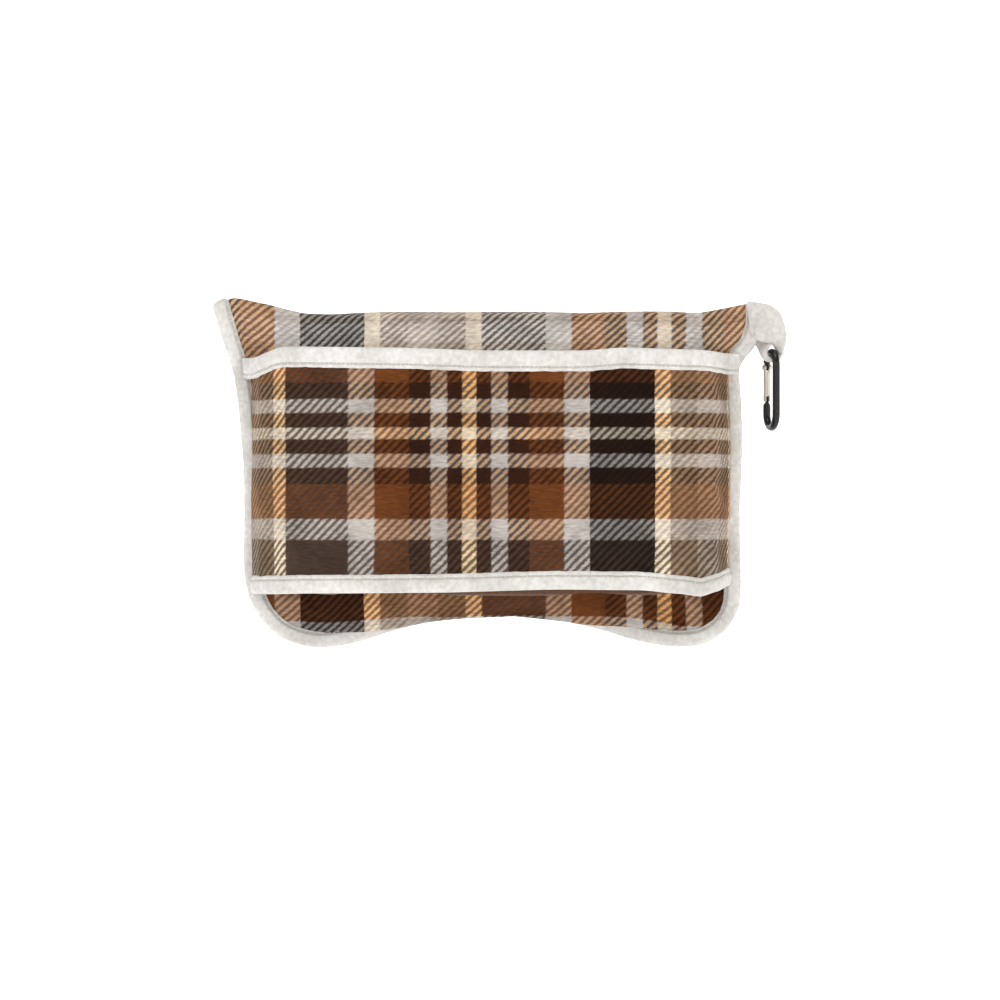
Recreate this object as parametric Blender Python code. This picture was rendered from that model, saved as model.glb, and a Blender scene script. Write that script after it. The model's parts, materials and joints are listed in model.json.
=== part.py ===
"""A plush travel pillow case with a folded blanket inside, a luggage sleeve and a clip.

The case is two plush panels sewn together round the sides and the bottom, where a
binding tape covers the raw edges. The front panel folds over the top and meets the back
panel at a zip behind the ridge. A sleeve across the front slides over a trolley handle,
and a strap loop sewn into one top corner holds a small snap hook.

+X is to the right of the sleeve side, -Y is the sleeve side, +Z is up. The origin is the
middle of the sleeve's passage. Heights below are above the lowest edge of the case.
"""

import math

import bmesh
import bpy
from mathutils import Matrix, Vector

MM = 0.001

# Driving dimensions, in millimetres.
HALF_WIDTH = 189.5  # from the centre to the side seams
RIDGE_Z = 268.5  # inside of the fold along the top
FOOT_Z = 12.5  # bottom seam above the two corners that the case stands on
ARCH_RISE = 13.0  # how far the bottom seam rises between the corners
FRONT_DEPTH = 42.0  # how far each panel bulges from the seam plane
BACK_DEPTH = 42.0
PLUSH = 2.2  # thickness of a plush panel
SEAM_HALF_GAP = 0.2  # between the seam plane and the inside of a panel
FLANGE = 9.5  # seam allowance outside the seam line
BINDING_REACH = 12.5  # outer edge of the binding from the seam line
SEAM_Y = 55.0  # from the passage's centre plane back to the seam plane
PASSAGE_Z = 143.0  # middle of the passage above the lowest edge of the case
FIT_GAP = 0.3  # between touching pieces

LEFT_CORNER = (60.0, 50.0)  # half axes of the rounded bottom corners, across and up
RIGHT_CORNER = (44.0, 30.0)
FLAT_FOOT = 26.0  # straight run of the seam beside each bottom corner
LEFT_RISE = 11.0  # the ridge rises this much to the top corners
RIGHT_RISE = 9.0
LEFT_FLARE = 23.5  # the side seams run out to the top corners
RIGHT_FLARE = 11.0
BACK_FLAT = 150.0  # the back is evenly deep this far from the centre

SLEEVE_INNER_Y = 66.0  # inside face of the sleeve, in front of the seam plane
SLEEVE_FLAT = 100.0  # half length of the straight front run
SLEEVE_KINK = (165.0, 47.0)  # where the sleeve turns back to the side seams
SLEEVE_AT_SEAM = 3.4  # inside face of the sleeve at the side seams, in front of their plane
SLEEVE_BINDING_END = 174.0  # the sleeve's bindings stop short of the side seams
TOP_BINDING = 17.0  # height of each folded binding tape
BOTTOM_BINDING = 15.0
BINDING_WALL = 1.6

ZIP_Z = 253.5  # centre line of the zip, on the back just below the ridge
ZIP_GAP = 5.0  # from the centre line up or down to the panel edges
ZIP_HALF_OPENING = 146.0
ZIP_CLOSED_FROM = 152.0
ZIP_COIL_END = 142.0
SLIDER_X = 136.0  # slider at the closed end

LOOP_ROOT = (216.2, 263.5)  # x and z of the strap loop's sewn end
STRAP_FOLD_WIDTH = 10.0  # the strap is gathered where the hook hangs in it
STRAP_THICKNESS = 2.4
HOOK_OUT = 11.0  # from the loop's sewn end out to the rod that it carries, and down to it
HOOK_DOWN = 24.5
HOOK_TURN = math.radians(-73.0)  # plane of the hook, turned about Z from the XZ plane
ROD_RADIUS = 3.0
HOOK_ARC = 11.0  # radius of the hook's end arcs, to the rod's centre
HOOK_LENGTH = 60.4  # between the centres of the rod at the two ends
GATE_HINGE_Z = 12.0  # the gate's hinge below the hook's apex
GATE_LENGTH = 27.5


def clamp01(value):
    return max(0.0, min(1.0, value))


def smoothstep(value, low, high):
    k = clamp01((value - low) / (high - low))
    return k * k * (3 - 2 * k)


def lerp(a, b, k):
    return a + (b - a) * k


def table(points, x):
    """Straight-line interpolation in a short list of (x, value)."""
    for (x0, v0), (x1, v1) in zip(points, points[1:]):
        if x <= x1:
            return lerp(v0, v1, clamp01((x - x0) / (x1 - x0)))
    return points[-1][1]


# ---------------------------------------------------------------- scene and objects


def clear_scene():
    for obj in list(bpy.data.objects):
        bpy.data.objects.remove(obj)


def material(name, rgb, roughness, metallic=0.0):
    made = bpy.data.materials.new(name)
    made.use_nodes = True
    shader = made.node_tree.nodes["Principled BSDF"]
    shader.inputs["Base Color"].default_value = (*rgb, 1.0)
    shader.inputs["Roughness"].default_value = roughness
    shader.inputs["Metallic"].default_value = metallic
    return made


def empty(name, matrix, parent=None):
    made = bpy.data.objects.new(name, None)
    bpy.context.scene.collection.objects.link(made)
    made.parent = parent
    made.matrix_local = matrix
    return made


def add_object(name, bm, finish, parent):
    """Turns a bmesh in millimetres into a named object in metres."""
    bmesh.ops.scale(bm, vec=(MM, MM, MM), verts=bm.verts)
    mesh = bpy.data.meshes.new(name)
    bm.to_mesh(mesh)
    bm.free()
    mesh.materials.append(finish)
    mesh.shade_smooth()
    mesh.set_sharp_from_angle(angle=math.radians(40))
    made = bpy.data.objects.new(name, mesh)
    bpy.context.scene.collection.objects.link(made)
    made.parent = parent
    return made


def thicken(obj, thickness):
    """Gives a sheet its thickness, on the side its normals point to."""
    modifier = obj.modifiers.new("thickness", "SOLIDIFY")
    modifier.thickness = thickness * MM
    modifier.offset = 1.0


def cut(obj, cutter):
    cutter.hide_render = True
    cutter.display_type = "WIRE"
    modifier = obj.modifiers.new("cut", "BOOLEAN")
    modifier.operation = "DIFFERENCE"
    modifier.object = cutter


def join(obj, other):
    other.hide_render = True
    other.display_type = "WIRE"
    modifier = obj.modifiers.new("join", "BOOLEAN")
    modifier.operation = "UNION"
    modifier.object = other


# ---------------------------------------------------------------- shape builders


def sweep(profile, frames):
    """A closed outline of (a, b) carried along frames of (origin, a axis, b axis)."""
    bm = bmesh.new()
    rings = [
        [bm.verts.new(origin + a * axis_a + b * axis_b) for a, b in profile]
        for origin, axis_a, axis_b in frames
    ]
    for ring, following in zip(rings, rings[1:]):
        for k in range(len(profile)):
            n = (k + 1) % len(profile)
            bm.faces.new((ring[k], ring[n], following[n], following[k]))
    bm.faces.new(rings[0][::-1])
    bm.faces.new(rings[-1])
    bmesh.ops.recalc_face_normals(bm, faces=bm.faces)
    return bm


def circle(radius, sides):
    turn = 2 * math.pi / sides
    return [(radius * math.cos(k * turn), radius * math.sin(k * turn)) for k in range(sides)]


def box(low, high):
    bm = bmesh.new()
    size = [b - a for a, b in zip(low, high)]
    centre = [(a + b) / 2 for a, b in zip(low, high)]
    matrix = Matrix.Translation(centre) @ Matrix.Diagonal((*size, 1.0))
    bmesh.ops.create_cube(bm, size=1.0, matrix=matrix)
    return bm


def cylinder(radius, start, end, sides=16):
    """A round bar between two points."""
    start, end = Vector(start), Vector(end)
    bm = bmesh.new()
    turn = (end - start).to_track_quat("Z", "Y").to_matrix().to_4x4()
    bmesh.ops.create_cone(
        bm,
        cap_ends=True,
        segments=sides,
        radius1=radius,
        radius2=radius,
        depth=(end - start).length,
        matrix=Matrix.Translation((start + end) / 2) @ turn,
    )
    return bm


def extrude_along_x(outline, half_length, centre=0.0):
    """A closed outline of (y, z) between two ends along X."""
    frames = [
        (Vector((centre + side * half_length, 0, 0)), Vector((0, 1, 0)), Vector((0, 0, 1)))
        for side in (-1, 1)
    ]
    return sweep(outline, frames)


# ---------------------------------------------------------------- the case's surface


def ridge_z(x):
    rise = LEFT_RISE if x < 0 else RIGHT_RISE
    return RIDGE_Z + rise * smoothstep(abs(x), 145, HALF_WIDTH)


def bottom_z(x):
    """Height of the bottom seam: rounded corners, a flat foot beside each, an arch between."""
    across, up = LEFT_CORNER if x < 0 else RIGHT_CORNER
    corner_start = HALF_WIDTH - across
    past = clamp01((abs(x) - corner_start) / across)
    corner = up * (1 - math.sqrt(1 - past * past))
    left_foot = HALF_WIDTH - LEFT_CORNER[0] - FLAT_FOOT
    right_foot = HALF_WIDTH - RIGHT_CORNER[0] - FLAT_FOOT
    along = (x + left_foot) / (left_foot + right_foot)
    arch = ARCH_RISE * math.sin(math.pi * clamp01(along)) ** 1.5
    return FOOT_Z + corner + arch


def flare(x, z):
    """How far the sides run out towards the top corners."""
    near_side = smoothstep(abs(x), 0.72 * HALF_WIDTH, HALF_WIDTH)
    if x < 0:
        return -LEFT_FLARE * near_side * max(0.0, (z - 185) / 90) ** 2
    return RIGHT_FLARE * near_side * smoothstep(z, 240, 264)


def crown(x, z):
    """Share of the full bulge at a height: a firm edge at the seam, a round fold on top."""
    low, high = bottom_z(x), ridge_z(x)
    middle = 130.0
    share = clamp01((z - low) / (high - low))
    above = clamp01((z - middle) / (high - middle))
    return (1 - (1 - share) ** 4) * math.sqrt(max(0.0, 1 - above**2.6))


def front_depth(x):
    return FRONT_DEPTH * (1 - abs(x / HALF_WIDTH) ** 4)


def back_depth(x):
    past = clamp01((abs(x) - BACK_FLAT) / (HALF_WIDTH - BACK_FLAT))
    return BACK_DEPTH * (1 - past**2.5)


def case_point(x, z, side, lift=0.0):
    """Point on the inside of the case. side is -1 at the front and 1 at the back."""
    depth = front_depth(x) if side < 0 else back_depth(x)
    y = side * (SEAM_HALF_GAP + depth * crown(x, z) + lift)
    return Vector((x + flare(x, z), y, z))


def seam_outward(x, on_side):
    """Direction from the seam line out into the seam allowance."""
    if on_side:
        return Vector((math.copysign(1, x), 0, 0))
    step = 0.5
    rise = bottom_z(min(x + step, HALF_WIDTH)) - bottom_z(max(x - step, -HALF_WIDTH))
    return Vector((rise, 0, -2 * step)).normalized()


def stations():
    """Positions across the case: even angles round the bottom corners, even steps between."""
    left, right = LEFT_CORNER[0], RIGHT_CORNER[0]
    turn = [k * math.pi / 2 / 5 for k in range(6)]
    corner_l = [-HALF_WIDTH + left * (1 - math.cos(a)) for a in turn]
    corner_r = [HALF_WIDTH - right * (1 - math.cos(a)) for a in reversed(turn)]
    start, end = corner_l[-1], corner_r[0]
    count = 12
    middle = [lerp(start, end, k / count) for k in range(1, count)]
    return corner_l + middle + corner_r


ROW_SHARES = (0, 0.02, 0.06, 0.13, 0.22, 0.34, 0.46, 0.58, 0.69, 0.78, 0.85, 0.91, 0.96)


def zip_edge_z(x, side):
    """Height of the panel edge beside the zip, above (1) or below (-1) its centre line."""
    closing = smoothstep(abs(x), ZIP_HALF_OPENING, ZIP_CLOSED_FROM)
    return ZIP_Z + side * lerp(ZIP_GAP, FIT_GAP, closing)


def front_rows(x, rows_over=4):
    """(z, side) from the bottom seam up the front, over the ridge and down to the zip."""
    low, high = bottom_z(x), ridge_z(x)
    edge = zip_edge_z(x, 1)
    over = [(lerp(high, edge, (k / rows_over) ** 2), 1) for k in range(1, rows_over + 1)]
    return [(lerp(low, high, share), -1) for share in ROW_SHARES] + [(high, 0)] + over


def back_rows(x):
    """(z, side) from the bottom seam up the back to the zip."""
    low, high = bottom_z(x), ridge_z(x)
    return [(lerp(low, high, share), 1) for share in ROW_SHARES[:-2]] + [(zip_edge_z(x, -1), 1)]


def panel_sheet(rows_at):
    """A sheet with a flat seam allowance round its sides and its bottom."""
    xs = stations()
    columns = [rows_at(x) for x in xs]
    bm = bmesh.new()
    bmesh.ops.create_grid(bm, x_segments=len(xs) - 1, y_segments=len(columns[0]) - 1, size=1.0)
    bm.verts.ensure_lookup_table()
    outward = {}
    width = len(xs)
    for index, vert in enumerate(bm.verts):
        row, column = divmod(index, width)
        x = xs[column]
        z, side = columns[column][row]
        if side == 0:
            vert.co = Vector((x + flare(x, z), 0, z + SEAM_HALF_GAP))
        else:
            vert.co = case_point(x, z, side)
        on_side = column in (0, width - 1)
        if on_side or row == 0:
            outward[vert] = seam_outward(x, on_side)
    open_edges = [e for e in bm.edges if e.is_boundary and all(v in outward for v in e.verts)]
    grown = bmesh.ops.extrude_edge_only(bm, edges=open_edges)["geom"]
    new_verts = [v for v in grown if isinstance(v, bmesh.types.BMVert)]
    for vert in new_verts:
        source = next(e.other_vert(vert) for e in vert.link_edges if e.other_vert(vert) in outward)
        vert.co = source.co + outward[source] * FLANGE
    return bm


def face_outwards(bm, inside):
    """Turns a sheet so that its faces point away from a point inside the case."""
    bmesh.ops.recalc_face_normals(bm, faces=bm.faces)
    votes = sum(f.normal.dot(f.calc_center_median() - inside) * f.calc_area() for f in bm.faces)
    if votes < 0:
        bmesh.ops.reverse_faces(bm, faces=bm.faces)


def seam_frames():
    """Frames along the seam, from the top left corner round the bottom to the top right."""
    shares = list(ROW_SHARES[1:]) + [1.0]
    left = [(-HALF_WIDTH, share) for share in reversed(shares)]
    right = [(HALF_WIDTH, share) for share in shares]
    across = Vector((0, 1, 0))
    frames = []
    for x, share in left + [(x, 0) for x in stations()] + right:
        z = lerp(bottom_z(x), ridge_z(x), share)
        at_side = abs(x) > HALF_WIDTH - 1e-6
        frames.append((Vector((x + flare(x, z), 0, z)), seam_outward(x, at_side), across))
    return frames


# ---------------------------------------------------------------- pieces of the case


def make_panels(case, plush):
    inside = Vector((0, 0, 140))
    for name, rows_at in (("front_panel", front_rows), ("back_panel", back_rows)):
        bm = panel_sheet(rows_at)
        face_outwards(bm, inside)
        thicken(add_object(name, bm, plush, case), PLUSH)


def make_edge_binding(case, tape, thread):
    """A tape folded round the raw edges: front and back panel and, at the sides, the sleeve."""
    slot_front = SLEEVE_AT_SEAM + PLUSH + FIT_GAP
    slot_back = SEAM_HALF_GAP + PLUSH + FIT_GAP
    front, back = -slot_front - BINDING_WALL, slot_back + BINDING_WALL
    mouth, floor, outer = 3.0, FLANGE + 1.2, BINDING_REACH
    profile = [
        (mouth, front), (outer - 1, front), (outer, front + 1.2), (outer, back - 1.2),
        (outer - 1, back), (mouth, back), (mouth, slot_back), (floor, slot_back),
        (floor, -slot_front), (mouth, -slot_front),
    ]
    add_object("edge_binding", sweep(profile, seam_frames()), tape, case)
    stitch_y = front - FIT_GAP - 0.4
    stitch = [(mouth + 1.6 + a, stitch_y + b) for a, b in circle(0.4, 4)]
    add_object("binding_stitch", sweep(stitch, seam_frames()), thread, case)


def make_blanket(case, fleece):
    """The blanket, folded to and fro into layers that fill the case."""
    layers, half, half_depth, clearance = 8, 165.0, 32.0, 5.0
    pitch = 2 * half_depth / layers
    layer_half = pitch / 2 - 0.4
    centres = [-half_depth + pitch * (k + 0.5) for k in range(layers)]

    def reach(y, top):
        """Height at which the case is as deep as the outer face of a layer at y."""
        need = (abs(y) + pitch / 2 + clearance) / BACK_DEPTH
        if top:
            return 130 + (RIDGE_Z - 130) * (1 - need**2) ** (1 / 2.6) - pitch - 2
        low = FOOT_Z + ARCH_RISE
        return low + (RIDGE_Z - low) * (1 - (1 - need) ** 0.25) + pitch + 2

    left, right = [], []
    for k, y in enumerate(centres):
        up = k % 2 == 0
        following = centres[k + 1] if k + 1 < layers else None
        start = reach(y, not up) if k == 0 else None
        if start is not None:
            left.append((y - layer_half, start))
            right.append((y + layer_half, start))
        if following is None:
            end = reach(y, up)
            side = (y - layer_half, end), (y + layer_half, end)
            left.append(side[0 if up else 1])
            right.append(side[1 if up else 0])
            continue
        middle, turn_z = (y + following) / 2, reach(max(abs(y), abs(following)), up)
        spread = 1 if up else -1
        for step in range(5):
            angle = math.pi * (1 - step / 4)
            for line, radius in ((left, pitch / 2 + layer_half), (right, 0.4)):
                where = line if up else (right if line is left else left)
                where.append((middle + radius * math.cos(angle),
                              turn_z + spread * radius * math.sin(angle)))
    outline = left + right[::-1]
    frames = []
    for k in range(9):
        x = lerp(-half, half, k / 8)
        depth_share = (min(front_depth(x), back_depth(x)) - clearance) / (BACK_DEPTH - clearance)
        height_share = 1 - 0.12 * abs(x / half) ** 3
        origin = Vector((x, 0, 150 * (1 - height_share)))
        frames.append((origin, Vector((0, depth_share, 0)), Vector((0, 0, height_share))))
    add_object("folded_blanket", sweep(outline, frames), fleece, case)


# ---------------------------------------------------------------- the sleeve


def sleeve_line(x):
    """Depth of the sleeve's inside face in front of the seam plane."""
    kink_x, kink_y = SLEEVE_KINK
    points = [(0, SLEEVE_INNER_Y), (SLEEVE_FLAT, SLEEVE_INNER_Y), (kink_x, kink_y),
              (HALF_WIDTH, SLEEVE_AT_SEAM), (HALF_WIDTH + FLANGE, SLEEVE_AT_SEAM)]
    return table(points, abs(x))


def sleeve_top_z(x):
    return table([(-190, 232.5), (-165, 242), (20, 238.5), (118, 239.5), (165, 240), (190, 238.5)], x)


def sleeve_bottom_z(x):
    return table([(-190, 44), (-165, 45), (0, 47.5), (118, 48.5), (165, 43.5), (190, 50.5)], x)


def sleeve_xs(reach):
    marks = [0, 34, 67, SLEEVE_FLAT, 122, 144, SLEEVE_KINK[0] - 4, SLEEVE_KINK[0],
             SLEEVE_KINK[0] + 4, SLEEVE_BINDING_END]
    if reach > SLEEVE_BINDING_END:
        marks += [HALF_WIDTH, HALF_WIDTH + FLANGE]
    return sorted({-m for m in marks} | set(marks))


def sleeve_x(x, z):
    """Beyond the bindings the sleeve runs out to the side seams, which lean and curve."""
    if abs(x) <= SLEEVE_BINDING_END:
        return x
    corner = clamp01((FOOT_Z + LEFT_CORNER[1] - z) / LEFT_CORNER[1]) if x < 0 else 0.0
    shift = LEFT_CORNER[0] * (1 - math.sqrt(1 - corner**2))
    outside = 1.5 if abs(x) > HALF_WIDTH else 0.0
    return x + flare(math.copysign(HALF_WIDTH, x), z) + shift - math.copysign(outside, x)


def sleeve_frames(edge_z, xs):
    """Frames along an edge of the sleeve: outward across the cloth, then up."""
    points = [Vector((x, -sleeve_line(x), edge_z(x))) for x in xs]
    frames = []
    for k, point in enumerate(points):
        before, after = points[max(k - 1, 0)], points[min(k + 1, len(points) - 1)]
        along = (after - before).normalized()
        outward = along.cross(Vector((0, 0, 1))).normalized()
        if outward.y > 0:
            outward.negate()
        frames.append((point, outward, Vector((0, 0, 1))))
    return frames


def make_sleeve(case, plush, tape, thread):
    xs = sleeve_xs(HALF_WIDTH + FLANGE)
    rows = 5
    inset = 4.0  # the cloth's raw edge inside each folded binding
    bm = bmesh.new()
    bmesh.ops.create_grid(bm, x_segments=len(xs) - 1, y_segments=rows, size=1.0)
    bm.verts.ensure_lookup_table()
    for index, vert in enumerate(bm.verts):
        row, column = divmod(index, len(xs))
        x = xs[column]
        low, high = sleeve_bottom_z(x) + inset, sleeve_top_z(x) - inset
        z = lerp(low, high, row / rows)
        vert.co = (sleeve_x(x, z), -sleeve_line(x), z)
    face_outwards(bm, Vector((0, 0, 140)))
    thicken(add_object("sleeve_panel", bm, plush, case), PLUSH)

    edges = (("sleeve_top_binding", "sleeve_top_stitch", sleeve_top_z, TOP_BINDING, -1),
             ("sleeve_bottom_binding", "sleeve_bottom_stitch", sleeve_bottom_z, BOTTOM_BINDING, 1))
    inner, outer = -FIT_GAP - BINDING_WALL, PLUSH + FIT_GAP + BINDING_WALL
    for name, stitch_name, edge_z, height, way in edges:
        lip, floor = way * height, way * (inset - FIT_GAP)
        profile = [(inner, 0), (outer, 0), (outer, lip), (PLUSH + FIT_GAP, lip),
                   (PLUSH + FIT_GAP, floor), (-FIT_GAP, floor), (-FIT_GAP, lip), (inner, lip)]
        frames = sleeve_frames(edge_z, sleeve_xs(0))
        add_object(name, sweep(profile, frames), tape, case)
        stitch_at = (outer + FIT_GAP + 0.4, way * (height - 4))
        stitch = [(stitch_at[0] + a, stitch_at[1] + b) for a, b in circle(0.4, 4)]
        add_object(stitch_name, sweep(stitch, frames), thread, case)


# ---------------------------------------------------------------- the zip


def back_curve(z, lift):
    """(y, z) on the back, where it is evenly deep, moved along its normal by lift."""
    step = 0.2
    point = case_point(0, z, 1)
    ahead = case_point(0, z + step, 1)
    tangent = (ahead - point).normalized()
    normal = Vector((0, tangent.z, -tangent.y))
    moved = point + normal * lift
    return moved.y, moved.z


def zip_frame(case):
    """An empty on the zip's centre line: local X along it, Y up the slope, Z outwards."""
    y, z = back_curve(ZIP_Z, -0.5)
    step = 0.2
    slope = (case_point(0, ZIP_Z + step, 1) - case_point(0, ZIP_Z - step, 1)).normalized()
    along = Vector((-1, 0, 0))
    normal = along.cross(slope)
    basis = Matrix((along, slope, normal)).transposed().to_4x4()
    return empty("zip_frame", Matrix.Translation(Vector((0, y, z)) * MM) @ basis, case)


def make_zip(case, tape, nylon, metal, thread):
    tape_gap, tape_thick = 0.7, 0.9
    upper = [ZIP_Z + tape_gap * 0.85, 256.5, 259.5, 262.5]
    lower = [ZIP_Z - tape_gap * 0.85, 250.0, 246.0, 243.0]
    for name, heights in (("zipper_tape_upper", upper), ("zipper_tape_lower", lower)):
        outline = [back_curve(z, -0.5) for z in heights]
        outline += [back_curve(z, -0.5 - tape_thick) for z in reversed(heights)]
        add_object(name, extrude_along_x(outline, ZIP_COIL_END + 6), tape, case)

    frame = zip_frame(case)
    for name, side in (("zipper_coil_upper", 1), ("zipper_coil_lower", -1)):
        near, far = sorted((side * 0.7, side * 3.3))
        coil = box((-ZIP_COIL_END, near, 0.3), (ZIP_COIL_END, far, 1.9))
        add_object(name, coil, nylon, frame)
    start, end = ZIP_COIL_END + 0.7, ZIP_COIL_END + 2.8
    for name, low, high in (
        ("zipper_top_stop_upper", (-end, 0.8, 0.3), (-start, 3.8, 2.1)),
        ("zipper_top_stop_lower", (-end, -3.8, 0.3), (-start, -0.8, 2.1)),
        ("zipper_bottom_stop", (start, -3.8, 0.3), (end, 3.8, 2.1)),
    ):
        add_object(name, box(low, high), metal, frame)

    slider_frame = empty("slider_frame", Matrix.Translation(Vector((-SLIDER_X, 0, 0)) * MM), frame)
    slider = add_object("zipper_slider", box((-5.5, -4.6, 2.3), (5.5, 4.6, 3.5)), metal, slider_frame)
    parts = (
        box((-5.5, 3.8, 0.5), (5.5, 4.6, 2.6)),
        box((-5.5, -4.6, 0.5), (5.5, -3.8, 2.6)),
        box((-4.5, -0.35, -2.0), (4.5, 0.35, 2.6)),
        box((-5.5, -4.2, -2.9), (5.5, 4.2, -1.7)),
        box((-3.6, -1.1, 3.2), (-2.4, 1.1, 7.0)),
        box((2.4, -1.1, 3.2), (3.6, 1.1, 7.0)),
        box((-3.6, -1.1, 6.1), (3.6, 1.1, 7.2)),
    )
    for k, bm in enumerate(parts):
        join(slider, add_object(f"slider_piece_{k}", bm, metal, slider_frame))

    pull_frame = empty("pull_frame", Matrix.Translation(Vector((0, 0, 4.8)) * MM), slider_frame)
    pull = add_object("zipper_pull", box((4.6, -3.1, -0.6), (24.0, 3.1, 0.6)), metal, pull_frame)
    arms = (
        box((-0.6, 1.7, -0.6), (5.0, 2.9, 0.6)),
        box((-0.6, -2.9, -0.6), (5.0, -1.7, 0.6)),
        box((-0.6, -2.0, -0.6), (0.6, 2.0, 0.6)),
    )
    for k, bm in enumerate(arms):
        join(pull, add_object(f"pull_piece_{k}", bm, metal, pull_frame))
    cut(pull, add_object("pull_hole", cylinder(1.8, (20, 0, -3), (20, 0, 3)), metal, pull_frame))

    for name, z in (("zip_stitch_upper", ZIP_Z + 7.6), ("zip_stitch_lower", ZIP_Z - 7.6)):
        y, height = back_curve(z, PLUSH + FIT_GAP + 0.5)
        outline = [(y + a, height + b) for a, b in circle(0.4, 4)]
        add_object(name, extrude_along_x(outline, ZIP_COIL_END), thread, case)


# ---------------------------------------------------------------- loop and snap hook


def smooth_path(points, steps=4):
    """A smooth curve through (a, b) points."""
    padded = [points[0]] + list(points) + [points[-1]]
    path = []
    for p0, p1, p2, p3 in zip(padded, padded[1:], padded[2:], padded[3:]):
        for k in range(steps):
            t = k / steps
            path.append(tuple(
                0.5 * (2 * b + (c - a) * t + (2 * a - 5 * b + 4 * c - d) * t * t
                       + (3 * b - a - 3 * c + d) * t**3)
                for a, b, c, d in zip(p0, p1, p2, p3)))
    return path + [points[-1]]


def hook_directions():
    """Along the hook's rod where the loop carries it, and level out from the loop's seam."""
    rod = Vector((math.cos(HOOK_TURN), math.sin(HOOK_TURN), 0))
    return rod, Vector((-rod.y, rod.x, 0))


def make_loop(case, strap, thread):
    """A strap folded in two: its ends lie together in the corner seam, its fold carries the hook."""
    root_x, root_z = LOOP_ROOT
    centre_x, centre_z = HOOK_OUT, -HOOK_DOWN
    fold = 6.6  # from the hook's rod to the middle of the strap round it
    rod, out = hook_directions()
    up = Vector((0, 0, 1))
    path = smooth_path([(0, 9), (9, 10.5), (17, 5), (19.5, -7), (centre_x + fold + 0.6, centre_z + 5)])
    path += [(centre_x + fold * math.cos(a), centre_z + fold * math.sin(a))
             for a in [-math.pi * k / 10 for k in range(11)]]
    path += smooth_path([(centre_x - fold - 0.2, centre_z + 4), (1.4, -16), (0, -11.5)])
    frames = []
    for k, (x, z) in enumerate(path):
        before, after = path[max(k - 1, 0)], path[min(k + 1, len(path) - 1)]
        along = (out * (after[0] - before[0]) + up * (after[1] - before[1])).normalized()
        frames.append((out * x + up * z, along.cross(rod), rod))
    half_width, half_thickness = STRAP_FOLD_WIDTH / 2, STRAP_THICKNESS / 2
    profile = [(half_thickness * a, half_width * b) for a, b in ((-1, -1), (1, -1), (1, 1), (-1, 1))]
    loop_frame = empty("loop_frame", Matrix.Translation(Vector((root_x, 0, root_z)) * MM), case)
    loop = add_object("hang_loop", sweep(profile, frames), strap, loop_frame)
    barrel = cylinder(2.6, (0, 0, -13.9), (0, 0, 13.9), 14)
    join(loop, add_object("loop_root", barrel, strap, loop_frame))
    stitch = box((209.2, -8.6, 252), (210.2, -7.8, 276))
    add_object("loop_stitch", stitch, thread, case)
    return loop_frame


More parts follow.
